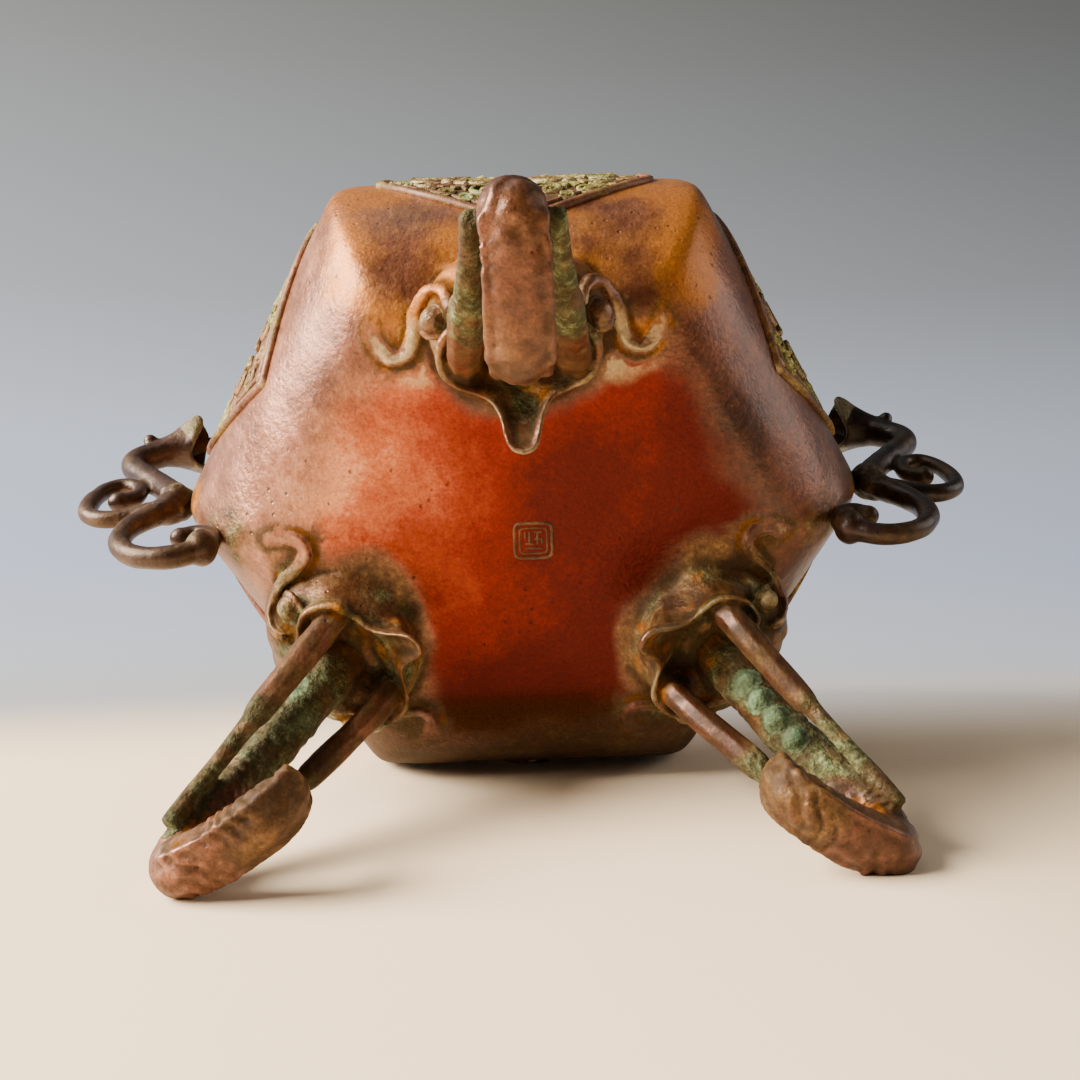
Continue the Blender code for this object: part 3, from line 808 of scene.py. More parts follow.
skin = remeshed(joined([bowl_outside] + legs), VOXEL)
links = neighbours(skin)
spots = points_of(skin)
spots = relaxed(spots, links, 3)
trunk_line = smooth_stations(TRUNK, 160)
print("fused", len(spots), "points")

# %% [markdown]
# ## Fillets
# The points near each meeting of head and bowl are relaxed until a soft fillet stands there. The brows stay
# out of it, and the soles are pressed flat at the ground.

# %% Fillets
FILLET_ROUNDS = 45
FILLET_REACH, FILLET_DEPTH, HEAD_MARGIN, SOLE_SOFTNESS = 3.2, 2.6, 1.8, 1.1


def on_the_ground(spots):
    """The points, with the lowest ones brought to height 0."""
    spots[:, 2] -= spots[:, 2].min() * fading(0, 6, spots[:, 2])
    return spots


angles = np.arctan2(spots[:, 1], spots[:, 0])
from_bowl = np.hypot(spots[:, 0], spots[:, 1]) - hexagon(angles, wall_radius(spots[:, 2]), wall_sharpness(spots[:, 2]))
below = BOTTOM_HEIGHT - spots[:, 2]
from_bowl = np.where(below > -0.6, most(below, from_bowl), from_bowl)
soft = np.zeros(len(spots))
for number, local in each_leg(spots):
    inward = local[:, 1] + HEAD_OUT
    depth = np.where(inward > 0, THROAT_REACH, FOREHEAD_REACH) + HEAD_MARGIN
    oval = (np.hypot(local[:, 0] / (CHEEK_HALF_WIDTH + HEAD_MARGIN), inward / depth) - 1) * 11
    near = np.exp(-((oval / FILLET_REACH) ** 2)) * np.exp(-((from_bowl / FILLET_DEPTH) ** 2))
    brow_free = np.clip((np.abs(local[:, 0]) - 10) / 2, 0, 1) * (local[:, 1] < -29)
    soft = most(soft, near * (1 - 0.8 * brow_free))
spots = relaxed(spots, links, FILLET_ROUNDS, soft)
spots[:, 2] = (spots[:, 2] + np.sqrt(spots[:, 2] ** 2 + SOLE_SOFTNESS)) / 2
spots = on_the_ground(spots)
set_points(skin, spots)
print(int((soft > 0.5).sum()), "points lie in a fillet")

# %% [markdown]
# ## The hand finish
# The wax was worked by hand. Lumps lie all over the skin, and wrinkles run round the trunks and feet, each
# faded by noise so that no two stretches are alike. All of it is pushed along the normals in one go.

# %% Hand finish
FOOT_WRINKLES, TRUNK_WRINKLES = (0.24, 0.38, 0.46), 0.30
SEAL_SPOT = (0.9, -0.1)


def trunk_push(number, local, push):
    """Adds wrinkles and lumps to the push of one trunk's skin, and takes the channel of the foot off."""
    away, along, where = nearest_on(trunk_line, local)
    on_trunk = np.clip(1.5 - np.abs(away - trunk_line[where, 3]) / 0.9, 0, 1)
    inner = ((CURL_MIDDLE - trunk_line[where, :3]) * (local - trunk_line[where, :3])).sum(1) > 0
    foot = smoothstep(34, 44, along)
    slant = along + mix(0.5, 0.55, foot) * local[:, 0] + 1.3 * noise(local, 3.5, 5 + number)
    groove = 1 - (0.5 + 0.5 * np.cos(slant * 2 * math.pi / mix(2.4, 2.1, foot))) ** 1.6
    fade = np.clip((along - 6) / 12, 0, 1) * smoothstep(-0.4, 0.5, noise(local, 4.5, 9.0 + number))
    push = push + on_trunk * fade * mix(TRUNK_WRINKLES, FOOT_WRINKLES[number], foot) * (groove - 0.7)
    push = push + on_trunk * (noise(local, 2.4, 80 + number) * 0.18 + noise(local, 1.2, 85.0) * 0.12)
    channel = foot * inner * fading(1.6, 3.6, np.abs(local[:, 0])) * (along < 78)
    return push - on_trunk * channel


push = noise(spots, 14.0, 1.0) * 0.34 + noise(spots, 6.0, 2.0) * 0.18
push *= 1 - 0.85 * smoothstep(56, 66, spots[:, 2])
from_seal = np.hypot(spots[:, 0] - SEAL_SPOT[0], spots[:, 1] - SEAL_SPOT[1])
push *= 1 - fading(4, 9, from_seal) * (spots[:, 2] < BOTTOM_HEIGHT + 2)
for number, local in each_leg(spots):
    head = np.hypot(local[:, 0] / 14.0, (local[:, 1] + 36.0) / 13.0)
    lumpy = fading(0.8, 1.4, head) * smoothstep(33, 38, spots[:, 2]) * (spots[:, 2] < 62)
    push += lumpy * (noise(spots, 3.2, 60 + number) * 0.30 + noise(spots, 1.5, 70 + number) * 0.10)
    close = np.flatnonzero((np.abs(local[:, 0]) < 7) & (local[:, 1] < -33) & (local[:, 2] < 44))
    push[close] = trunk_push(number, local[close], push[close])
spots = on_the_ground(spots + normals_of(skin) * push[:, None])
set_points(skin, relaxed(spots, links, 1, 0.3))
print("finished skin", len(spots), "points, pushed by", push.min().round(2), "to", push.max().round(2), "mm")

# %% [markdown]
# ## How deep each point lies
# Patina gathers in the hollows and wears off the edges. To tell the materials where that is, each point
# gets a number: how far it stands above or below a smoothed copy of the same surface.


# %% Depth as an attribute
def mark_relief(mesh, fine, broad, depth=0.35, crest=0.055):
    """Writes 'relief' on each point: 0 deep in a hollow, 0.5 on plain ground, 1 on a sharp edge."""
    spots, links, outward = points_of(mesh), neighbours(mesh), normals_of(mesh)
    lifted = averaged(((spots - relaxed(spots, links, fine)) * outward).sum(1)[:, None], links)
    ground = lifted
    for _ in range(4 * fine + 4):
        ground = averaged(ground, links)
    edge = np.clip((lifted - ground)[:, 0] / crest, -1, 1)
    sunk = averaged(((spots - relaxed(spots, links, broad)) * outward).sum(1)[:, None], links)[:, 0]
    hollow = np.clip(-sunk / depth, 0, 1)
    relief = np.clip(0.5 + 0.5 * np.where(edge > 0, edge * (1 - hollow), 0.6 * edge) - 0.5 * hollow, 0, 1)
    write(mesh, "relief", relief)
    print("relief from", *np.percentile(relief, (2, 20, 50, 80, 98)).round(2))
    return mesh


print("relief is 0 in a hollow, 0.5 on plain ground and 1 on an edge")

# %% [markdown]
# ## How hidden each point lies
# Each point sends short rays out over its own half of space, and the share of them that hits the mesh
# itself is written down as its shade. The patina darkens hidden points by it, as dirt that no cloth can
# reach and as painted shade in one.


# %% Shade as an attribute
def make_shade_tree(rays=26):
    """A tree that writes 'shade' on each point: the share of short rays that meet the mesh itself."""
    w, given = new_tree("shade", Reach=("Float", 10.0))
    outward = w.node("GeometryNodeInputNormal").outputs[0]
    start = w.vector("ADD", w.node("GeometryNodeInputPosition").outputs[0], w.vector("SCALE", outward, 0.3))
    total = 0.0
    for number in range(rays):
        height = 1 - (2 * number + 1) / rays
        turn = number * math.pi * (3 - math.sqrt(5))
        ring = 0.97 * math.sqrt(1 - height * height)
        spread = (ring * math.cos(turn), ring * math.sin(turn), 0.97 * height)
        aim = w.vector("ADD", outward, spread)
        ray = w.node("GeometryNodeRaycast", {"Target Geometry": given["Geometry"], "Source Position": start,
                                             "Ray Direction": aim, "Ray Length": given["Reach"]}).outputs
        near = w.less(1.0, w.math("DIVIDE", ray["Hit Distance"], given["Reach"]))
        total = w.math("MULTIPLY_ADD", near, ray["Is Hit"], total)
    shade = w.math("DIVIDE", total, float(rays))
    kept = w.node("GeometryNodeStoreNamedAttribute", {"Geometry": given["Geometry"], "Name": "shade", "Value": shade},
                  data_type="FLOAT", domain="POINT")
    return end_tree(w, given, kept.outputs[0])


SHADE_TREE = make_shade_tree()


def mark_shade(mesh, reach=10.0):
    mesh = run_tree("shade", mesh, SHADE_TREE, {"Reach": reach})
    shade = averaged(read(mesh, "shade")[:, None].astype(float), neighbours(mesh))[:, 0]
    write(mesh, "shade", shade)
    print("shade from", *np.percentile(shade, (5, 50, 95)).round(2))
    return mesh


print("shade tree of", len(SHADE_TREE.nodes), "nodes")

# %% [markdown]
# ## Handing a piece to the frame
# Every piece ends alike: it's moved to its place, scaled to metres, given its one material and put on the
# body that carries it.


# %% Finish a piece
def finish_piece(name, mesh, material, slot, *nodes):
    """Moves a piece to its place in the frame, in metres, and puts it on the body."""
    mesh.transform(Matrix.Translation((0, AXIS_Y, 0)) @ Matrix.Scale(MM, 4))
    mesh.materials.clear()
    mesh.materials.append(material)
    mesh.shade_smooth()
    piece = new_object(name, mesh)
    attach(piece, "root")
    if nodes:
        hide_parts(*nodes)
    print(name, tri_count(mesh), "triangles")
    return piece


print("one unit of a mesh is", MM, "m")

# %% [markdown]
# ## Where each colour lies
# The bottom is rubbed to a bright red, the cheeks round each head are dark olive brown, and green has
# grown on the trunks and the thin ends of the tusks. Each point of a mesh carries four numbers for this,
# so that the colours stay on their parts, and the material breaks their edges up with noise.


# %% Zones as an attribute
def near_line(start, end, spots):
    """Distance from each point to a straight line between two points, and the share along it."""
    start, end = np.array(start[:3], float), np.array(end[:3], float)
    along = np.clip((spots - start) @ (end - start) / ((end - start) @ (end - start)), 0, 1)
    return np.linalg.norm(spots - start - along[:, None] * (end - start), axis=1), along


def mark_zones(mesh, red, green, olive, gold):
    """Writes the shares of red, green, olive and gold patina on each point."""
    zones = np.zeros((len(mesh.vertices), 4), np.float32)
    for column, value in enumerate((red, green, olive, gold)):
        zones[:, column] = np.clip(value, 0, 1)
    mesh.attributes.new("zones", "FLOAT_COLOR", "POINT").data.foreach_set("color", zones.ravel())
    return mesh


print("a zone holds red, green, olive and gold")

# %% [markdown]
# ## Rubbed lines
# Brows, lips, eyes and the edges of the feet stand proud, so they are rubbed pale while the grooves beside
# them keep their dirt. Both are found by their distance from the lines that made them.


# %% Ridges and grooves of the heads
RUBBED_LINES = ((smooth_stations(BROW, 60), 0.3, 0.85), (head_row(-0.35, 0.0, 1.0)[:40], 0.0, 0.45),
                (foot_edge(1, *FOOT_BEADS[0][:2]), 0.0, 0.35))


def line_marks(spots):
    """Which points lie on a brow's or lip's ridge, and which in the grooves beside it."""
    ridge, groove = np.zeros(len(spots)), np.zeros(len(spots))
    for number, local in each_leg(spots):
        local[:, 0] = np.abs(local[:, 0])
        across, out, height = local[:, 0], -local[:, 1], local[:, 2]
        near = (out > 16) & (out < 50) & (height > 30) & (height < 53) & (across < 25)
        low = (out > 36) & (height < 15) & (across < 9)
        close = np.flatnonzero(near | low)
        worn = smoothstep(-0.7, 0.4, noise(spots[close], 4.0, 24.0)) * (0.7 if number else 0.8)
        worn = worn * (1 - 0.7 * smoothstep(26, 34, spots[close, 1]))
        eye_away = distance(local[close], *EYE)
        ridge[close] = most(ridge[close], 0.8 * fading(1.6, 2.4, eye_away))
        for line, core, half in RUBBED_LINES:
            away = nearest_on(line, local[close])[0]
            middle = fading(core - 0.15, core + 0.25, away) * (core > 0)
            band = fading(half, half + 0.5, away) * (1 - 0.8 * middle)
            ridge[close] = most(ridge[close], band * worn)
            beside_it = smoothstep(half + 0.1, half + 0.6, away) * fading(half + 1.0, half + 2.4, away)
            groove[close] = most(groove[close], beside_it, 0.7 * middle)
    return ridge, groove * (1 - ridge)


print("rubbed lines of", *(len(line) for line, _, _ in RUBBED_LINES), "points")

# %% [markdown]
# ## Dirt on the feet
# The feet and trunks are browner and duller than the bowl. Their dirt uses the same number as the shade,
# so that the material needs no layer of its own for it, and it's worn off wherever the casting is raised.


# %% Dirt on the feet
FOOT_TOP, TRUNK_TOP = 14, 41
FOOT_DIRT, TRUNK_DIRT, MOST_DIRT = (0.37, 0.39, 0.48), (0.40, 0.45, 0.54), 0.62


def grime(spots, relief):
    """How dark the feet, tusks and trunks are, on the scale of the shade attribute."""
    dark = np.zeros(len(spots))
    for number, local in each_leg(spots):
        out, height = -local[:, 1], local[:, 2]
        foot = (height < FOOT_TOP) & (out > 34) & (np.abs(local[:, 0]) < 12)
        shaft = (height >= FOOT_TOP) & (height < TRUNK_TOP) & (out > 27) & (np.abs(local[:, 0]) < 12)
        worn = 0.75 * (relief - 0.5) - 0.20 * noise(spots, 2.6, 27.0) - 0.16 * noise(spots, 1.2, 28.0)
        dark = most(dark, foot * (FOOT_DIRT[number] - 1.3 * worn))
        dark = most(dark, shaft * (TRUNK_DIRT[number] - 1.4 * worn))
    return np.clip(dark, 0, MOST_DIRT)


print("dirt on the three feet:", *FOOT_DIRT)

# %% [markdown]
# ## Colours of a leg
# The head is dark olive brown, the trunk grows green between the tusks, and the foot is plain brown with
# gold earth in its heel. Where one leg is greener than the others, its number in a short table is higher.


# %% Colours of a leg
CHEEK_OLIVE, BROW_OLIVE, BROW_GREEN = (0.62, 0.85, 0.85), (0.8, 1.0, 1.0), (0.38, 0.50, 0.50)
TUSK_GREEN, TUSK_GREEN_START = (0.60, 0.56, 0.56), (0.20, 0.36, 0.36)
HEEL, BROW_MIDDLE = (0, -53.0, 8.2), (15.5, 36.0, 45.5)


def leg_colours(number, local, spots, wander, red, green, olive, gold):
    """The shares of red, green, olive and gold on one leg's head, trunk and foot."""
    across, out, height = np.abs(local[:, 0]), -local[:, 1], local[:, 2]
    head = np.hypot(across / 14.0, (out - 35.0 + 2 * (out < 33)) / 12.0)
    cheek = fading(0.9, 1.4, head + wander / 14) * (height < 60) * (out > 0)
    from_brow = (np.stack([across, out, height], 1) - BROW_MIDDLE) * (0.8, 1, 1)
    brow = fading(2.5, 7.0, np.linalg.norm(from_brow, axis=1) + wander * 0.4)
    red = red * (1 - cheek)
    olive = most(olive, cheek * CHEEK_OLIVE[number], brow * BROW_OLIVE[number])
    green = most(green, brow * BROW_GREEN[number])
    gold = most(gold, brow * smoothstep(-0.1, 0.6, noise(spots, 3.0, 11.0)) * 0.55)
    in_trunk = (height < 38) & (height > 12) & (across < 7) & (out > 33)
    trunk = smoothstep(12, 17, height) * fading(35, 38, height) * in_trunk
    lush = (0.35, 0.38 + 0.42 * smoothstep(28, 22, height), 0.62)[number] + 0.34 * noise(spots, 4.5, 18.0)
    cup = fading(0.8, 1.05, head) * (height > 36) * (height < 50) * (out > 20)
    green = most(green, trunk * lush, cup * (0.42 + 0.3 * noise(spots, 4.0, 16.0)))
    gold = most(gold, cup * (0.3 + 0.4 * noise(spots, 3.0, 17.0)))
    low = (height < 12.5) & (out > 34)
    gold = most(np.where(low | in_trunk, 0, gold), fading(2.6, 5.2, distance(local, *HEEL)) * 0.9 * low)
    green = np.where(low, np.minimum(green, 0.16 + 0.14 * noise(spots, 4.0, 12.0)), green)
    olive = most(olive, (0.55 + 0.35 * noise(spots, 6.0, 13.0)) * (height < 42) * (out > 30) * (1 - 0.55 * low))
    red = np.where(low, 0.12 + 0.12 * noise(spots, 5.0, 25.0), red)
    return red, green, olive, gold


def tusk_colours(number, local, spots, red, green, olive, gold):
    """The same shares on one leg's tusks, eyes and bumps."""
    for side in (-1, 1):
        flip = np.array([side, 1, 1])
        away, along = near_line(np.array(TUSK_ROOT) * flip, np.array(TUSK_TIP) * flip, local)
        on_tusk = (away < np.where(local[:, 2] > 9, 3.1, 1.9)) & (local[:, 2] < TRUNK_TOP)
        start = TUSK_GREEN_START[number]
        end = smoothstep(start, start + 0.14, along + noise(spots, 5.0, 6.0) * 0.1)
        speckle = 0.35 * noise(spots, 2.2, 21.0)
        green = np.where(on_tusk, mix(0.10, TUSK_GREEN[number], end) + 0.6 * speckle * end, green)
        olive = np.where(on_tusk, mix(0.62, 0.95, end) - speckle, olive)
        red = np.where(on_tusk, mix(0.30, 0.0, end), red)
        gold = np.where(on_tusk, 0.0, gold)
    eye = distance(np.abs(local) * (1, -1, 1), *EYE)
    gold = gold * smoothstep(2.2, 3.4, eye)
    green = np.where(eye < 2.6, 0.5, green)
    if number == BUMPED_LEG:
        for bump, size in BUMPS:
            green = most(green, fading(size + 0.2, size + 1.2, distance(local, *bump_spot(bump))))
    return red, green, olive, gold


print("colours of a leg follow", len(CHEEK_OLIVE), "heads")

# %% [markdown]
# ## The vessel's colours
# Red fills the bottom between the heads, and olive brown lies on the front face. Under the belly, on the
# side that faces the table, dark olive is laid both as colour and as painted shade. The legs come next, and
# then the green crumbs where the handles are joined or touch the wall.


# %% The vessel's zones
HANDLE_SPOTS = ((60.5, 71.0), (53.0, 50.5), (60.0, 108.0))


def vessel_zones(spots, ridge, groove):
    """Red, green, olive and gold shares for points of the vessel."""
    from_axis = np.hypot(spots[:, 0], spots[:, 1])
    wander = noise(spots, 11.0, 3.0) * 3.0 + noise(spots, 4.0, 4.0) * 1.2
    red = fading(28, 43, from_axis + wander) * fading(5, 8, spots[:, 2] - BOTTOM_HEIGHT)
    front = smoothstep(26, 40, -spots[:, 1]) * fading(28, 37, np.abs(spots[:, 0]) + wander * 0.6)
    # olive and painted shade: under darkens the lower wall towards the table with dark olive, partly its colour and
    # partly painted shade
    under = smoothstep(28, 42, spots[:, 1]) * fading(26, 34, np.abs(spots[:, 0])) * (spots[:, 2] < 72)
    olive = most(0.50 * front, 0.9 * under) + 0.2 * noise(spots, 8.0, 5.0)
    green, gold = np.zeros(len(spots)), (0.62 + 0.35 * noise(spots, 9.0, 15.0)) * front
    for number, local in each_leg(spots):
        shares = leg_colours(number, local, spots, wander, red, green, olive, gold)
        red, green, olive, gold = tusk_colours(number, local, spots, *shares)
    crumbs = noise(spots, 2.0, 26.0)
    for out, height in HANDLE_SPOTS:
        for side in (-1, 1):
            near = fading(4, 14, distance(spots, side * out, 0, height) + wander * 0.6)
            olive = most(olive, near * (1 + 0.3 * crumbs))
            green = most(green, near * (0.52 + 0.3 * crumbs))
            gold = most(gold, near * (0.30 + 0.6 * noise(spots, 3.0, 19.0)))
    olive = most(olive, (spots[:, 2] > 58) * 0.25, groove)
    gold = most(gold, groove * (0.45 + 0.4 * noise(spots, 3.0, 22.0)))
    return red * (1 - most(ridge, groove)), green, olive, gold


print("green crumbs at", 2 * len(HANDLE_SPOTS), "places of the wall")

# %% [markdown]
# ## The patina
# One recipe serves every piece: brown bronze with a purple cast, then the red, olive and green layers by
# their zones, then dark dirt and painted shade in the hollows and hidden places, and bare, paler metal on
# the edges. All of the noise reads Object coordinates, so it runs on from piece to piece without a seam.


# %% Patina material
def ramp(w, value, *stops):
    """A colour ramp through (position, colour) stops."""
    made = w.node("ShaderNodeValToRGB", {0: value})
    elements = made.color_ramp.elements
    for element, (position, color) in zip(elements, (stops[0], stops[-1])):
        element.position, element.color = position, (*color, 1)
    for position, color in stops[1:-1]:
        elements.new(position).color = (*color, 1)
    return made.outputs[0]


def blend(w, share, first, second, kind="MIX"):
    """One colour over another by a share."""
    inputs = {0: share, 6: first, 7: second}
    return w.node("ShaderNodeMix", inputs, data_type="RGBA", blend_type=kind).outputs[2]


def window(w, value, low, high):
    """0 at low, 1 at high, smooth between them."""
    inputs = {"Value": value, "From Min": low, "From Max": high}
    return w.node("ShaderNodeMapRange", inputs, interpolation_type="SMOOTHSTEP").outputs[0]


def cloud(w, here, size, detail=4.0, seed=0.0):
    """Noise whose blotches are about `size` metres across."""
    inputs = {"Vector": here, "Scale": 1 / size, "Detail": detail, "Roughness": 0.6, "W": seed}
    return w.node("ShaderNodeTexNoise", inputs, noise_dimensions="4D").outputs[0]


def attribute(w, name):
    return w.node("ShaderNodeAttribute", attribute_name=name).outputs["Fac"]


BLOTCH = 0.026
print("a blotch is", BLOTCH / MM, "mm wide")

# %% [markdown]
# ## The layers of the patina
# Real patina lies in layers: bare bronze, the brown and red that the maker gave it, dirt, green and the
# shine of hands. The dirt layer also lays painted shade where the mesh hides a point. Each layer is a ramp
# of colours that a noise runs through, and each one lies over the last by a share that comes from the
# zones, the depth or the shade of the point. The lean of the red and brown ramps is painted light: it
# makes the burner paler on the side towards the window light and darker on the side turned away from it.

# %% Colours of the patina
# painted light: the pale top stops of both ramps colour the window-lit side of the burner, and the darkest reds the
# side turned away from the light
BROWNS_WITH_PAINTED_LIGHT = ((0.22, (0.045, 0.015, 0.007)), (0.42, (0.115, 0.036, 0.015)),
          (0.58, (0.190, 0.064, 0.028)), (0.76, (0.33, 0.140, 0.080)), (0.95, (0.48, 0.26, 0.17)))
REDS_WITH_PAINTED_LIGHT = ((0.0, (0.070, 0.004, 0.001)), (0.35, (0.160, 0.010, 0.002)),
        (0.62, (0.26, 0.036, 0.010)), (0.84, (0.43, 0.112, 0.042)), (1.0, (0.60, 0.25, 0.13)))
SOILS = ((0.34, (0.028, 0.012, 0.004)), (0.46, (0.085, 0.040, 0.012)),
         (0.56, (0.150, 0.076, 0.022)), (0.68, (0.29, 0.180, 0.068)))
GREEN_DARK, GREEN_PALE, MINT = (0.022, 0.022, 0.008), (0.50, 0.56, 0.40), (0.17, 0.32, 0.18)
VESSEL_MOSS = ((0.075, 0.082, 0.030), (0.21, 0.25, 0.12))
PANEL_MOSS = ((0.16, 0.145, 0.030), (0.46, 0.43, 0.15))
# DIRT_AND_SHADE is dirt in the hollows and also painted shade where the mesh hides a point or the belly faces the
# table
GOLDEN, RUBBED, DIRT_AND_SHADE, PIT_DARK = (0.36, 0.120, 0.014), (0.48, 0.38, 0.20), (0.028, 0.016, 0.006), (0.03, 0.012, 0.006)
# painted light: these leans make the browns and reds paler towards -X and -Y, where the window light falls, and darker
# towards +X and +Y
BROWN_LIGHT_LEAN, RED_LIGHT_LEAN_X, RED_LIGHT_LEAN_Y, RED_START = -2.1, 16.5, 14.0, 0.265


print("ramps of", len(BROWNS_WITH_PAINTED_LIGHT), "browns,", len(REDS_WITH_PAINTED_LIGHT), "reds and", len(SOILS), "soils")

# %% [markdown]
# ## Laying the layers
# The tree first reads the marks on the mesh, then makes each layer's colour and share, and at last lays
# them over each other. Dull layers also take away metal, shine and wax.


# %% The layers of the patina
def toned(tone, color):
    return tuple(tone * part for part in color)


def patina_layers(w, metal, roughness, moss, tone):
    """Colour, metal, roughness, shine, wax and height of the patina, as sockets."""
    here = w.node("ShaderNodeTexCoord").outputs["Object"]
    relief = attribute(w, "relief")
    marks = w.node("ShaderNodeAttribute", attribute_name="zones").outputs
    zones = w.node("ShaderNodeSeparateColor", {0: marks["Color"]}).outputs
    blotch = cloud(w, here, BLOTCH, 5.0, 1.0)
    mottle = cloud(w, here, 0.0055, 6.0, 2.0)
    grain = cloud(w, here, 0.0009, 3.0, 3.0)
    unrest = w.times(w.less(mottle, 0.5), 0.9)
    red = window(w, w.add(zones[0], w.times(unrest, 0.35)), 0.12, 0.85)
    olive = window(w, w.add(zones[2], unrest), 0.30, 0.95)
    shaded = window(w, attribute(w, "shade"), 0.22, 0.62)
    # painted shade and dirt: deep darkens hollows of the relief and points that the shade attribute finds hidden, and
    # takes metal and shine off them
    deep = w.most(window(w, relief, 0.46, 0.12), w.times(shaded, 0.75))
    crest = window(w, relief, 0.63, 0.96)
    green = window(w, w.add(zones[1], unrest, w.times(deep, 0.15)), 0.38, 0.82)
    gold = window(w, w.add(marks["Alpha"], w.times(unrest, 0.8)), 0.35, 0.75)
    streak = cloud(w, w.vector("MULTIPLY", here, (1.0, 1.0, 0.16)), 0.0011, 3.0, 5.0)
    texture = w.add(w.times(streak, 0.5), w.times(mottle, 0.5))
    rough_texture = w.less(texture, 0.5)
    side = w.parted(here)
    # painted light: tooth and worn carry real blotches and grain, plus leans that make the brown and red paler on the
    # window-lit side and darker on the far side
    tooth = w.add(w.times(rough_texture, 0.9), blotch, w.times(side["X"], BROWN_LIGHT_LEAN))
    brown = ramp(w, tooth, *((place, toned(tone, shade)) for place, shade in BROWNS_WITH_PAINTED_LIGHT))
    lean = w.add(w.times(side["X"], RED_LIGHT_LEAN_X), w.times(side["Y"], RED_LIGHT_LEAN_Y))
    worn = w.add(w.times(w.less(blotch, 0.5), 1.5), w.less(RED_START, lean), w.times(rough_texture, 0.7))
    dim = mix(0.35, 1.0, tone)
    earth = ramp(w, texture, *((place, toned(dim, shade)) for place, shade in SOILS))
    verdigris = ramp(w, w.add(w.times(grain, 0.6), w.times(mottle, 0.4)),
                     (0.36, GREEN_DARK), (0.50, moss[0]), (0.62, moss[1]), (0.74, GREEN_PALE))
    mint = window(w, w.add(zones[1], w.times(unrest, 0.6)), 0.72, 1.0)
    verdigris = blend(w, w.times(mint, 0.55), verdigris, (*MINT, 1))
    specks = window(w, cloud(w, here, 0.0022, 2.0, 8.0), 0.31, 0.22)
    pits = w.node("ShaderNodeTexVoronoi", {"Vector": here, "Scale": 420.0}, feature="F1").outputs["Distance"]
    pit = w.times(window(w, pits, 0.17, 0.07), window(w, blotch, 0.45, 0.6))
    color = blend(w, red, brown, ramp(w, worn, *REDS_WITH_PAINTED_LIGHT))
    for share, amount, layer in ((olive, 0.88, earth), (green, 1.0, verdigris),
                                 (gold, 0.85, (*toned(dim, GOLDEN), 1)), (deep, 0.80, (*DIRT_AND_SHADE, 1)),
                                 (crest, 0.62, (*toned(dim, RUBBED), 1)), (w.most(specks, pit), 0.65, (*PIT_DARK, 1))):
        color = blend(w, w.times(share, amount), color, layer)
    fine = w.math("MULTIPLY_ADD", cloud(w, here, 0.0005, 3.0, 9.0), 1.5, 0.28)
    color = blend(w, 1.0, color, w.combined(fine, fine, fine), "MULTIPLY")
    dull = w.math("ADD", green, deep, clamp=True)
    rough = w.math("MULTIPLY_ADD", dull, 0.28, w.times(mottle, 0.20))
    rough = w.add(w.math("MULTIPLY_ADD", w.most(olive, gold), 0.10, rough), roughness - 0.10)
    quiet = w.math("MULTIPLY_ADD", w.most(red, gold), 0.28, w.times(dull, 0.30))
    wax = w.math("SUBTRACT", 1.0, w.most(red, olive, dull), clamp=True)
    height = w.add(w.times(mottle, 0.00034), w.times(grain, 0.00014), w.times(streak, 0.00008),
                   w.times(green, grain, 0.00065), w.times(pit, -0.00014))
    return {"Base Color": color, "Metallic": w.times(w.less(1.0, w.times(dull, 0.8)), metal), "Roughness": rough,
            "Specular IOR Level": w.math("SUBTRACT", 0.45, quiet, clamp=True), "Coat Weight": w.times(wax, 0.20),
            "Normal": w.node("ShaderNodeBump", {"Height": height, "Distance": 1.0, "Strength": 0.9}).outputs[0]}


print("the last layers are dirt, rubbed edges and dark pits")

# %% [markdown]
# ## Three materials
# The vessel, the handles and the panels share the recipe. The handles are much darker, and the panels are
# duller and have a yellower green.


# %% The materials
def patina(name, metal, roughness, moss, tone=1.0):
    made = bpy.data.materials.new(name)
    made.use_nodes = True
    shader = made.node_tree.nodes["Principled BSDF"]
    for label, socket in patina_layers(Wiring(made.node_tree), metal, roughness, moss, tone).items():
        made.node_tree.links.new(socket, shader.inputs[label])
    shader.inputs["Coat Roughness"].default_value = 0.28
    print(name, len(made.node_tree.nodes), "nodes")
    return made


VESSEL_PATINA = patina("vessel_patina", 0.50, 0.35, VESSEL_MOSS)
HANDLE_PATINA = patina("handle_patina", 0.50, 0.40, VESSEL_MOSS, tone=0.16)
PANEL_PATINA = patina("panel_patina", 0.30, 0.50, PANEL_MOSS)

# %% [markdown]
# ## The hollow
# Depth is marked while the skin is still even. Then the skin is thinned and the hollow is cut out of it.

# %% Cut the hollow
mark_relief(skin, 6, 44, 0.42, 0.10)
skin = thinned(skin, THINNED_VESSEL)
vessel = cut(skin, bowl_inside, "MANIFOLD")
print("vessel with its hollow", tri_count(vessel), "triangles")

# %% [markdown]
# ## The finished vessel
# The zones, the shade and the dirt of the feet are written on the points that are left. The hollow is even,
# the wall under the belly, on the side that faces the table, is painted dark and dull as shade, and the flesh
# round the eyes is rubbed.

# %% Finish the vessel
spots = points_of(vessel)
ridge, groove = line_marks(spots)
mark_zones(vessel, *vessel_zones(spots, ridge, groove))
relief = read(vessel, "relief")
vessel = mark_shade(vessel)
inner_radius = hexagon(np.arctan2(spots[:, 1], spots[:, 0]), wall_radius(spots[:, 2]) - WALL + 0.4, INSIDE_SHARPNESS)
hollow = (np.hypot(spots[:, 0], spots[:, 1]) < inner_radius) & (spots[:, 2] > BOTTOM_HEIGHT + FLOOR - 0.3)
relief[hollow] = 0.5
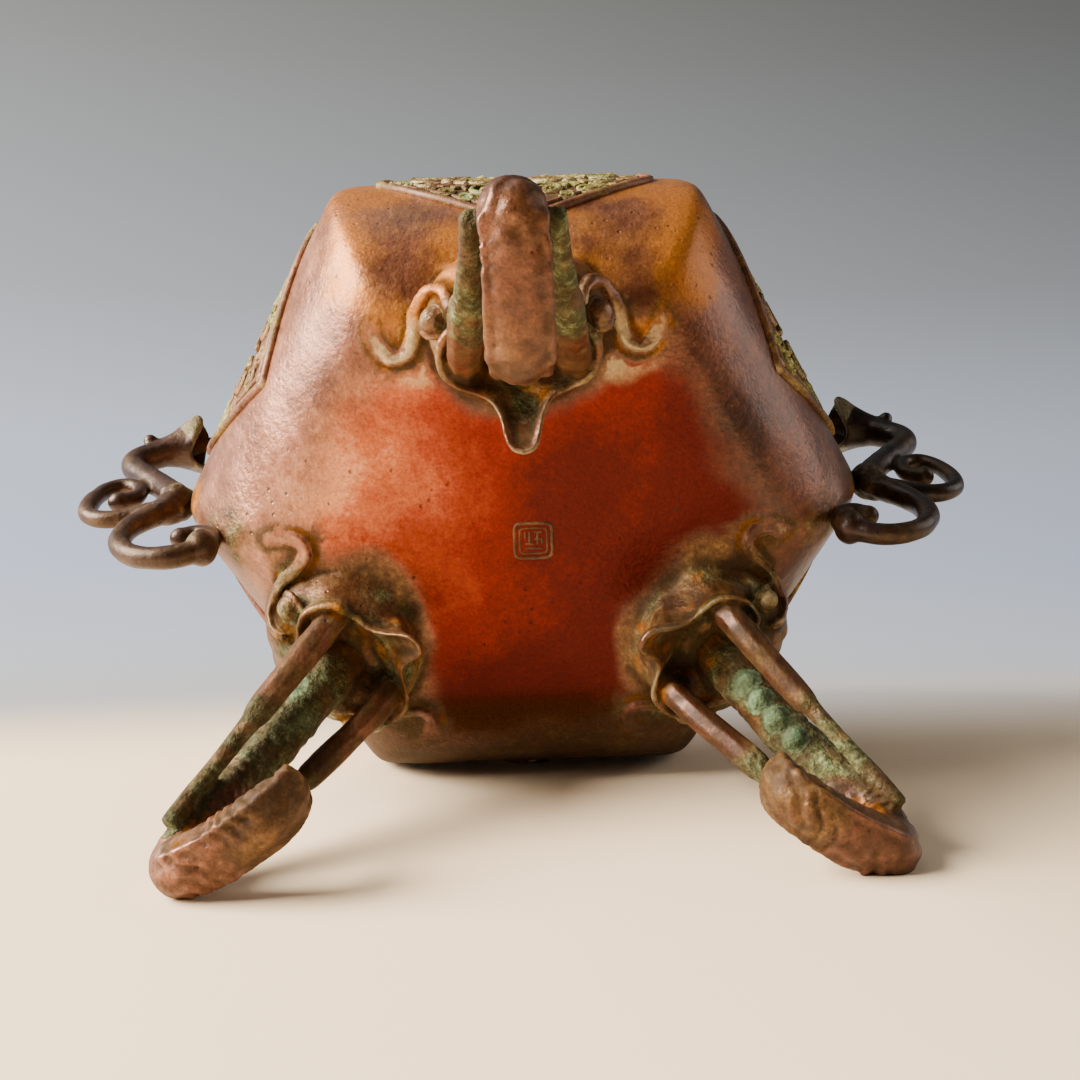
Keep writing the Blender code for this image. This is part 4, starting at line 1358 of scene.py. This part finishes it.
# painted shade: the lower wall on the +Y side, which faces the table, gets a low relief so the patina paints it dark
# and dull as if in the table's shadow
painted_shade_beneath = smoothstep(24, 31, spots[:, 1]) * fading(30, 40, np.abs(spots[:, 0])) * fading(60, 76, spots[:, 2])
relief = np.minimum(relief, 0.5 - 0.33 * painted_shade_beneath)
around_eyes = np.hypot((np.abs(spots[:, 0]) - 15.5) / 8.5, (spots[:, 1] + 30.0) / 6.5) + noise(spots, 4.0, 23.0) * 0.15
flesh = fading(0.45, 1.2, around_eyes) * (spots[:, 2] < 56) * (spots[:, 2] > 40)
relief = np.where(relief > 0.4, relief + 0.40 * flesh, relief)
relief = np.clip(mix(mix(relief, 0.16, 0.75 * groove), 0.93, 0.85 * ridge), 0, 1)
write(vessel, "relief", relief)
write(vessel, "shade", most(read(vessel, "shade"), grime(spots, relief)))
finish_piece("vessel_casting", vessel, VESSEL_PATINA, "vessel", "vessel")


# %% [markdown]
# ## The handles
# Each handle is a beast's head that bites the rim of the bowl, with its body drawn out into a rod, a C
# and a volute. Rods of changing thickness follow their smooth lines, a scalloped trumpet makes the jaws,
# and everything is fused into one small casting.

# %% Handles
ROD = [(59.4, 110.6, 1.3), (64.0, 107.2, 1.3), (69.4, 103.2, 2.7), (72.2, 100.4, 2.8), (75.2, 96.4, 2.6),
       (74.8, 92.0, 2.4), (70.8, 86.2, 2.4), (66.0, 79.8, 2.4), (62.6, 73.6, 2.6), (62.2, 69.0, 2.6),
       (64.8, 64.4, 2.0), (66.9, 59.0, 1.9), (66.6, 53.2, 1.85), (63.6, 48.2, 1.85), (59.0, 45.9, 1.85),
       (54.8, 46.8, 1.9), (52.0, 50.4, 1.9), (52.2, 54.2, 1.8), (54.8, 56.2, 1.6), (56.8, 54.6, 1.5)]
VOLUTE = [(62.8, 68.4, 1.9), (67.8, 65.2, 1.7), (72.4, 64.2, 1.6), (76.0, 67.0, 1.6), (77.2, 72.4, 1.55),
          (76.8, 78.0, 1.5), (74.4, 81.6, 1.5), (70.8, 80.2, 1.5), (69.8, 75.4, 1.5), (72.4, 73.0, 1.7)]
BUDS = (((72.4, 0, 73.0), (1.9, 1.9, 1.9)), ((56.9, 0, 54.4), (1.8, 1.8, 1.8)),
        ((61.6, 0, 71.6), (3.0, 3.3, 4.4)), ((52.4, 0, 49.6), (2.6, 3.0, 3.2)))
JOINT_MIDDLE, JOINT_CRUST, LOW_SCROLL = (61.6, 0, 70.6), (60.5, 0, 71.0), (53.0, 0, 51.0)
JAWS_START, JAWS_END = np.array([72.0, 0, 101.2]), np.array([66.4, 0, 105.4])
JAWS_SHAPE = ((-0.3, 2.6), (0.1, 3.0), (0.4, 3.6), (0.62, 4.3), (0.80, 5.1), (0.95, 5.4), (1.03, 5.0), (1.0, 4.3),
              (0.85, 3.7), (0.65, 3.2), (0.35, 2.7), (0.18, 0.6))


def in_plane(line):
    """Stations (out, height, radius) as points in the plane of the right handle."""
    return [(out, 0.0, height, radius) for out, height, radius in line]


print("handle of", len(ROD), "and", len(VOLUTE), "stations")

# %% [markdown]
# ## The beast's jaws
# The head at the top of each handle is a trumpet whose rim is scalloped into lobes and rolled over. Its
# mouth is a hollow towards the wall, so the loft turns back inside itself, and the inside of the mouth is
# painted dark as shade.


# %% Jaws
def make_jaws():
    """A trumpet with a scalloped rim and a thick lip, open towards the wall."""
    start, end = JAWS_START, JAWS_END
    axis = (end - start) / np.linalg.norm(end - start)
    side, up = np.array([0.0, 1.0, 0.0]), np.cross(axis, [0.0, 1.0, 0.0])
    around = np.linspace(0, 2 * math.pi, 96, endpoint=False)
    scallop = 1 + 0.12 * np.cos(2 * around) + 0.05 * np.cos(6 * around)
    rows = []
    for share, radius in JAWS_SHAPE:
        bent = min(max(share, 0.0), 1.0)
        reach = radius * mix(1.0, scallop, bent)
        near, far = most(np.sin(around), 0), most(-np.sin(around), 0)
        lobes = 0.30 * np.cos(around) ** 2 - 0.36 * near ** 2 + 0.70 * far ** 2
        ahead = share + bent ** 2 * lobes
        rows.append(start + np.outer(ahead, end - start) + np.outer(reach * np.cos(around), side)
                    + np.outer(reach * np.sin(around), up))
    return loft(rows)


print("jaws", round(float(np.linalg.norm(JAWS_END - JAWS_START)), 1), "mm long")

# %% [markdown]
# ## The handle castings
# Rods, jaws and buds are fused and smoothed. The joint on the wall is lumpy and crusted, the neck is bare,
# and the rim of the jaws is rubbed pale. Two handles come from one recipe, with other lumps for each.


# %% The handle castings
TRUMPET_PLACES, TRUMPET_RADII = (0.1, 0.4, 0.62, 0.8, 0.95, 1.3), (3.0, 3.6, 4.3, 5.1, 5.4, 5.4)
JAWS_AXIS, JAWS_LENGTH = np.array([-0.80, 0, 0.60]), 7.0


def mark_handle(mesh, number):
    """Writes the zones of one handle, its relief on the rim of the jaws, and a low relief inside them as painted
    shade.
    """
    spots = points_of(mesh)
    joint = fading(3, 8, distance(spots, *JOINT_CRUST))
    flare = smoothstep(101, 106, spots[:, 2])
    foot = fading(2, 7, distance(spots, *LOW_SCROLL))
    patch = noise(spots, 6.0, 40 + number) * 0.4
    from_start = spots - JAWS_START
    depth = from_start @ JAWS_AXIS
    radius = np.linalg.norm(from_start - depth[:, None] * JAWS_AXIS, axis=1)
    trumpet = np.interp(depth / JAWS_LENGTH, TRUMPET_PLACES, TRUMPET_RADII)
    # painted shade: points inside the mouth of the jaws get the lowest relief, so the patina paints them dark as if in
    # shadow
    inside = (depth > 1.0) & (radius < trumpet - 0.9)
    lip = smoothstep(3.8, 5.0, depth) * (radius > trumpet - 1.4) * (spots[:, 0] < 72)
    write(mesh, "relief", np.where(inside, 0.05, most(read(mesh, "relief"), 0.88 * lip)))
    neck = smoothstep(-1, 1.5, depth) * (1 - lip) * flare
    green = most(joint * 0.45, foot * 0.45, lip * 0.45) + patch * 0.35
    olive = most(joint, 0.42, neck * 0.8, foot) + patch
    gold = most(joint * 0.30, neck * 0.62) + patch * 0.5
    return mark_zones(mesh, joint * 0, green, olive, gold)


def make_handle(number):
    cheek = ball((74.0, 2.6 if number else -2.6, 101.6), (1.3, 1.3, 1.3))
    solids = [rod(in_plane(ROD), 220, 28), rod(in_plane(VOLUTE), 110, 22), make_jaws(), cheek]
    solids += [ball(middle, half) for middle, half in BUDS]
    mesh = remeshed(joined(solids), 0.34)
    spots = relaxed(points_of(mesh), neighbours(mesh), 6)
    set_points(mesh, spots)
    push = noise(spots, 7.0, 20 + number) * 0.16 + noise(spots, 2.6, 30 + number) * 0.09
    crusted = fading(4, 8, distance(spots, *JOINT_MIDDLE))
    push += crusted * (noise(spots, 2.0, 33 + number) * 0.35 + noise(spots, 1.0, 36 + number) * 0.15)
    set_points(mesh, spots + normals_of(mesh) * push[:, None])
    mark_relief(mesh, 6, 34, 0.40, 0.10)
    return mark_handle(mark_shade(thinned(mesh, THINNED_HANDLE), 6.0), number)


for number, (name, degrees) in enumerate((("handle_right", 0), ("handle_left", 180))):
    finish_piece(name + "_casting", turned(make_handle(number), degrees), HANDLE_PATINA, name, name)


# %% [markdown]
# ## Panels of scrollwork
# Every face of the bowl carries a raised panel of vines inside a double border. One motif, a spiral with
# two leaves, is repeated at different sizes and turns. Geometry Nodes place the motifs on the points of a
# small list, mirror them, turn the lines into half-sunk rods and press them against the wall, and then
# set the finished panel on all six faces.

# %% The motif
PANEL_TIP, PANEL_SHOULDER, PANEL_TOP, PANEL_HALF_WIDTH = 60.0, 83.0, 110.0, 23.0
SCROLLS = [(12.3, 99.6, 6.2, 20, 1), (3.9, 90.6, 4.0, 160, -1), (14.6, 87.2, 5.0, 300, -1),
           (5.9, 80.2, 4.5, 60, 1), (14.2, 78.0, 3.5, 200, 1), (4.9, 71.6, 3.5, 330, -1),
           (11.6, 71.4, 2.5, 100, -1), (2.5, 65.9, 2.0, 240, 1), (3.5, 102.4, 3.1, 90, -1),
           (19.4, 93.6, 2.0, 0, 1), (18.9, 105.2, 1.9, 130, -1), (9.3, 92.9, 1.7, 30, 1),
           (9.6, 74.9, 1.5, 250, 1), (1.7, 85.2, 1.4, 190, 1), (1.8, 96.4, 1.6, 10, -1),
           (19.2, 80.9, 1.6, 300, -1), (18.6, 99.4, 1.9, 60, 1), (8.4, 106.2, 1.9, 200, 1), (6.9, 98.0, 1.5, 20, -1),
           (20.0, 88.0, 1.4, 170, 1), (9.4, 86.0, 1.6, 120, -1), (7.9, 67.6, 1.6, 60, -1), (14.9, 71.9, 1.5, 10, 1)]


def make_motif():
    """A spiral with two leaves on its outer turn, as edges with a thickness at each point."""
    lines = []
    turns = np.linspace(0, 1, 30)
    spiral = mix(1.0, 0.16, turns ** 0.85)
    lines.append([(radius * math.cos(3.3 * math.pi * t), radius * math.sin(3.3 * math.pi * t), mix(0.17, 0.11, t))
                  for t, radius in zip(turns, spiral)])
    for start in (0.6, 2.6):
        bend = np.linspace(0, 1, 9)
        lines.append([((1.0 - 0.1 * t + 0.24 * math.sin(math.pi * t)) * math.cos(start + 0.85 * t),
                       (1.0 - 0.1 * t + 0.24 * math.sin(math.pi * t)) * math.sin(start + 0.85 * t),
                       0.05 + 0.13 * math.sin(math.pi * t)) for t in bend])
    lines.append([(0.10 * math.cos(a), 0.10 * math.sin(a), 0.15) for a in (0, 2, 4)])
    spots, edges, thickness = [], [], []
    for line in lines:
        edges += [(len(spots) + i, len(spots) + i + 1) for i in range(len(line) - 1)]
        spots += [(x, 0.0, y) for x, y, _ in line]
        thickness += [size for _, _, size in line]
    return plain_mesh("motif", spots, edges, thickness=thickness)


print("motifs in half a panel:", len(SCROLLS))

# %% [markdown]
# ## Setting the motifs
# The tree puts the motif on every point of a list at that point's own size, turn and hand. It drops the
# lines onto the wall with rays, and then sweeps them into rods, no thinner than the wax could be cut.


# %% The scrollwork's node tree
def make_scroll_tree():
    w, given = new_tree("scrollwork", Motif=("Object", None), Wall=("Object", None), Thinnest=("Float", 0.34),
                        Lift=("Float", 0.25), Sides=("Int", 8))
    motif, wall = (w.node("GeometryNodeObjectInfo", {"Object": given[name]}).outputs["Geometry"]
                   for name in ("Motif", "Wall"))
    size = w.named("size")
    placed = w.node("GeometryNodeInstanceOnPoints", {
        "Points": given["Geometry"], "Instance": motif, "Rotation": w.combined(y=w.named("turn")),
        "Scale": w.combined(w.times(size, w.named("hand")), size, size)})
    kept = w.node("GeometryNodeStoreNamedAttribute", {"Geometry": placed.outputs[0], "Name": "grown", "Value": size},
                  data_type="FLOAT", domain="INSTANCE")
    lines = w.node("GeometryNodeRealizeInstances", {"Geometry": kept.outputs[0]})
    here = w.parted(w.node("GeometryNodeInputPosition").outputs[0])
    ray = w.node("GeometryNodeRaycast", {
        "Target Geometry": wall, "Source Position": w.combined(here["X"], -200.0, here["Z"]),
        "Ray Direction": (0.0, 1.0, 0.0), "Ray Length": 300.0}).outputs
    lifted = w.vector("ADD", ray["Hit Position"], w.combined(y=w.times(given["Lift"], -1.0)))
    draped = w.node("GeometryNodeSetPosition", {"Geometry": lines.outputs[0], "Position": lifted,
                                                "Selection": ray["Is Hit"]})
    thick = w.most(w.times(w.named("thickness"), w.named("grown")), given["Thinnest"])
    return end_tree(w, given, swept(w, given, draped.outputs[0], thick))


SCROLL_TREE = make_scroll_tree()
print("scrollwork tree of", len(SCROLL_TREE.nodes), "nodes")

# %% [markdown]
# ## Border and ground
# The border follows a rule: straight down from the shoulder, then in a curve to the tip. The ground is a
# thin closed sheet that lies on the wall inside it.


# %% Border and ground
def panel_half_width(height):
    share = np.clip((np.asarray(height, float) - PANEL_TIP) / (PANEL_SHOULDER - PANEL_TIP), 0, 1)
    return PANEL_HALF_WIDTH * np.sin(math.pi / 2 * share) ** 0.95


def border_line(inset):
    """The panel's outline, moved inwards, as (across, height) points."""
    heights = np.concatenate([PANEL_TIP + (PANEL_SHOULDER - PANEL_TIP) * np.linspace(0, 1, 30) ** 1.4,
                              np.linspace(PANEL_SHOULDER, PANEL_TOP, 10)[1:]])
    right = [(float(panel_half_width(z)), z) for z in heights]
    top = [(x, PANEL_TOP) for x in np.linspace(PANEL_HALF_WIDTH, -PANEL_HALF_WIDTH, 24)[1:-1]]
    line = np.array(right + top + [(-x, z) for x, z in right[:0:-1]])
    ahead, behind = np.roll(line, -1, 0), np.roll(line, 1, 0)
    along = (ahead - behind) / np.linalg.norm(ahead - behind, axis=1)[:, None]
    return line + np.stack([-along[:, 1], along[:, 0]], 1) * inset


def closed_line(points, thickness):
    count = len(points)
    edges = [(i, (i + 1) % count) for i in range(count)]
    return plain_mesh("line", [(x, 0.0, z) for x, z in points], edges, thickness=[thickness] * count)


def make_ground(rows=70, columns=48):
    """A thin closed sheet on the front wall inside the panel's border."""
    heights = np.linspace(PANEL_TIP + 0.4, PANEL_TOP - 0.4, rows)
    across = np.linspace(-1, 1, columns)[None, :] * (panel_half_width(heights) - 0.2)[:, None]
    height = np.repeat(heights[:, None], columns, 1)
    radius = wall_radius(height) * np.where(height > SHOULDER_HEIGHT, 0.98, 1.0)
    out = radius * 0.87
    for _ in range(6):
        reach = hexagon(np.arctan2(-out, across), radius, wall_sharpness(height))
        out = np.sqrt(most(reach ** 2 - across ** 2, 0))
    front = np.stack([across, -out - 0.16, height], 2).reshape(-1, 3)
    back = np.stack([across, -out + 0.6, height], 2).reshape(-1, 3)
    faces = []
    for shift, flip in ((0, 1), (rows * columns, -1)):
        for row in range(rows - 1):
            for column in range(columns - 1):
                a = shift + row * columns + column
                faces.append([a, a + 1, a + columns + 1, a + columns][::flip])
    around = [*range(columns), *range(2 * columns - 1, rows * columns, columns),
              *range(rows * columns - 2, (rows - 1) * columns - 1, -1), *range((rows - 2) * columns, 0, -columns)]
    for a, b in zip(around, around[1:] + around[:1]):
        faces.append([a, b, b + rows * columns, a + rows * columns][::-1])
    return cleaned(plain_mesh("ground", np.concatenate([front, back]), faces=faces), 0.001)


print("a panel is", PANEL_TOP - PANEL_TIP, "mm high and", 2 * PANEL_HALF_WIDTH, "mm wide")

# %% [markdown]
# ## The six panels
# One panel is made on the front face and turned round to the other five, because one mould served all.
# Vines, borders and grounds are pieces of their own, so each can have its own share of green and gold.


# %% The six panels
wall_object = new_object("wall", bowl_outside.copy())


def pressed(name, motif, places, lift, thinnest):
    """Runs the scrollwork tree with one motif on (across, height, size, turn, hand) places."""
    motif_object = new_object("motif", motif)
    across, height, size, turn, hand = np.array(places, float).T
    seeds = plain_mesh("seeds", np.stack([across, 0 * across, height], 1), size=size, turn=np.radians(turn), hand=hand)
    mesh = run_tree(name, seeds, SCROLL_TREE, {"Motif": motif_object, "Wall": wall_object, "Lift": lift,
                                               "Thinnest": thinnest, "Sides": 6})
    bpy.data.objects.remove(motif_object, do_unlink=True)
    return mesh


places = SCROLLS + [(-across, height, size, -turn, -hand) for across, height, size, turn, hand in SCROLLS]
vines = pressed("vines", make_motif(), places, 0.30, 0.40)
borders = joined([pressed("rib", closed_line(border_line(inset), thickness), [(0, 0, 1, 0, 1)], 0.15, 0.3)
                  for inset, thickness in ((0.0, 0.85), (2.1, 0.5))])
bpy.data.objects.remove(wall_object, do_unlink=True)
panel_pieces = (("panel_vines", vines, 0.68, 0.1, 0), ("panel_borders", borders, 0.36, 0.24, 0),
                ("panel_grounds", make_ground(), 0.25, 0.0, 0.26))
for name, one, greenness, gilt, depth in panel_pieces:
    mesh = cleaned(joined([turned(one, 60 * face) for face in range(6)]))
    mark_relief(mesh, 1, 8, 0.2, 0.03)
    if depth:
        write(mesh, "relief", np.full(len(mesh.vertices), 0.5 - depth))
    patch = noise(points_of(mesh), 7.0, 50.0) * 0.35
    mark_zones(mesh, patch * 0, greenness + patch, 0.7 + patch, gilt + patch)
    finish_piece(name, mesh, PANEL_PATINA, "vessel")


# %% [markdown]
# ## The seal
# A small square mark is cast in the middle of the bottom. It's a generic one: a double frame round rows of
# short strokes, which are no writing.

# %% Seal
SEAL_HALF = 3.0
strokes = [(-0.6, -1.5, -0.6, 0.5), (-1.4, 0.5, 0.1, 0.5), (-1.3, -0.5, -1.3, -1.5), (-1.4, 1.3, 1.3, 1.3),
           (0.7, 0.6, 0.7, -1.5), (0.2, -0.3, 1.4, -0.3), (1.4, 0.6, 1.4, -0.3), (0.2, -1.5, 1.4, -1.5)]
bars = []
for half, radius in ((SEAL_HALF, 0.26), (SEAL_HALF - 0.8, 0.15)):
    around = np.linspace(0, 2 * math.pi, 64, endpoint=False) + 0.01
    reach = half / (np.abs(np.cos(around)) ** 7 + np.abs(np.sin(around)) ** 7) ** (1 / 7)
    bars.append(bead(np.stack([reach * np.cos(around), reach * np.sin(around), 0 * around], 1), radius, 8, True))
for x, y, to_x, to_y in strokes:
    bars.append(rod([(x, y, 0, 0.16), (mix(x, to_x, 0.5), mix(y, to_y, 0.5), 0, 0.22), (to_x, to_y, 0, 0.15)], 8, 8))
seal = joined(bars)
spots = points_of(seal)
set_points(seal, spots * (1, 1, 0.8) + np.array([*SEAL_SPOT, BOTTOM_HEIGHT]))
mark_relief(seal, 1, 2)
many = np.ones(len(spots))
mark_zones(seal, many * 0.0, many * 0.36, many * 0.9, many * 0.4)
finish_piece("seal_lines", seal, PANEL_PATINA, "vessel")

# %% [markdown]
# ## The camera
# The camera stands where a fit to some thirty points of the photograph puts it: low before the underside,
# a little to one side and slightly rolled.

# %% Camera
PITCH, YAW, ROLL = 0.383, 0.0253, 0.0233
DISTANCE, FOCAL, CENTER_X, CENTER_Y = math.exp(1.2935), 1200.0, -0.0514, 0.2134
UNIT, AXIS_START = 62.0, 1.355
turn = Matrix.Rotation(ROLL, 3, "Z") @ Matrix.Rotation(PITCH, 3, "X") @ Matrix.Rotation(YAW, 3, "Y")
eye = turn.transposed() @ Vector((-CENTER_X, -CENTER_Y, DISTANCE))
eye = Vector((eye.x * UNIT, -eye.y * UNIT, (AXIS_START - eye.z) * UNIT)) * MM + Vector((0, AXIS_Y, 0))
rows = [Vector((row.x, -row.y, -row.z)) for row in turn]
camera = bpy.data.objects.new("camera", bpy.data.cameras.new("camera"))
bpy.context.scene.collection.objects.link(camera)
camera.matrix_world = Matrix.Translation(eye) @ Matrix(rows).transposed().to_4x4()
camera.data.lens, camera.data.sensor_width = 36 * FOCAL / 1080, 36
camera.data.clip_start, camera.data.clip_end = 0.005, 20
bpy.context.scene.camera = camera
RIGHT, UP, BACK = rows
print("camera at", [round(x / MM, 1) for x in eye])

# %% [markdown]
# ## Light and stage
# The burner lies in the light of one large window on the left, and the room behind the camera is dimmer.
# The backdrop is the world itself: it changes from warm and pale at the table to grey above, and it's
# brighter on the left, by direction alone.

# %% Window light and backdrop
world = bpy.data.worlds.new("studio")
bpy.context.scene.world = world
world.use_nodes = True
w = Wiring(world.node_tree)
sky = world.node_tree.nodes["Background"]
look = w.node("ShaderNodeTexCoord").outputs["Generated"]


def along(direction):
    """How far the view goes along one direction, from -1 to 1."""
    inputs = {0: look, 1: tuple(direction)}
    return w.node("ShaderNodeVectorMath", inputs, operation="DOT_PRODUCT").outputs["Value"]


rise = w.math("MULTIPLY_ADD", along(UP), 0.5, 0.5)
tone = ramp(w, rise, (0.0, (1.15, 0.98, 0.78)), (0.41, (1.15, 0.98, 0.78)), (0.4335, (0.98, 0.90, 0.82)),
            (0.458, (0.86, 0.90, 0.96)), (0.4917, (0.74, 0.80, 0.97)), (0.5375, (0.67, 0.72, 0.82)),
            (0.598, (0.44, 0.455, 0.475)), (0.705, (0.235, 0.235, 0.22)), (1.0, (0.15, 0.15, 0.15)))
uneven = window(w, rise, 0.45, 0.72)
across = w.math("MULTIPLY_ADD", along(RIGHT), w.math("MULTIPLY_ADD", uneven, -0.75, -0.40), 1.0)
behind = window(w, along(BACK), -0.3, 0.7)
dim = w.times(across, w.less(1.0, w.times(behind, 0.8)))
lit = blend(w, 1.0, tone, w.combined(dim, dim, dim), "MULTIPLY")
world.node_tree.links.new(lit, sky.inputs[0])
sky.inputs[1].default_value = 1.0


def softbox(name, right, up, back, size, power, color=(1, 1, 1)):
    """A square light, placed in the camera's own directions from the middle of the burner."""
    lamp = bpy.data.lights.new(name, "AREA")
    lamp.size, lamp.energy, lamp.color = size, power, color
    made = bpy.data.objects.new(name, lamp)
    bpy.context.scene.collection.objects.link(made)
    middle = Vector((0, AXIS_Y, 0.06))
    made.location = middle + RIGHT * right + UP * up + BACK * back
    made.rotation_mode = "QUATERNION"
    made.rotation_quaternion = (middle - made.location).to_track_quat("-Z", "Y")
    return made


softbox("window", -0.78, 0.48, 0.15, 0.60, 50.0, (1, 0.90, 0.76))
softbox("room", 0.75, 0.35, -0.05, 0.5, 2.2, (1, 0.92, 0.84))
softbox("ceiling", -0.35, 0.85, -0.1, 0.6, 1.5, (1, 0.93, 0.84))

# %% [markdown]
# ## The table
# The burner leans on its belly and on its two lower feet, so the table is the plane through those. It fades
# into the backdrop far behind, and it can't be seen from its back.

# %% The table
TABLE_BELLY, TABLE_FEET = (49.2, 59.6), (32.2, 4.0)
FADE_START, FADE_END = 0.06, 0.135
slope = math.atan2(TABLE_BELLY[0] - TABLE_FEET[0], TABLE_BELLY[1] - TABLE_FEET[1])
side, near, far = 3.0, -1.5, 3.0
corners = []
for reach in (near, far):
    for aside in (-side, side):
        corners.append((aside, AXIS_Y + TABLE_FEET[0] * MM + math.sin(slope) * reach,
                        TABLE_FEET[1] * MM + math.cos(slope) * reach))
table = plain_mesh("table", corners, faces=[(0, 1, 3, 2)])
paint = bpy.data.materials.new("table_paint")
paint.use_nodes = True
w = Wiring(paint.node_tree)
plain = paint.node_tree.nodes["Principled BSDF"]
plain.inputs["Base Color"].default_value = (0.95, 0.76, 0.53, 1)
plain.inputs["Roughness"].default_value = 0.6
see_through = w.node("ShaderNodeBsdfTransparent")
side_of = w.node("ShaderNodeNewGeometry").outputs["Backfacing"]
far_along = w.node("ShaderNodeSeparateXYZ", {0: w.node("ShaderNodeTexCoord").outputs["Object"]}).outputs["Z"]
fade = window(w, far_along, FADE_START, FADE_END)
gone = w.most(side_of, fade)
both = w.node("ShaderNodeMixShader", {0: gone, 1: plain.outputs[0], 2: see_through.outputs[0]})
paint.node_tree.links.new(both.outputs[0], paint.node_tree.nodes["Material Output"].inputs["Surface"])
table.materials.append(paint)
table_piece = new_object("table", table)
print("table faces", [round(x, 2) for x in table.polygons[0].normal])

# %% [markdown]
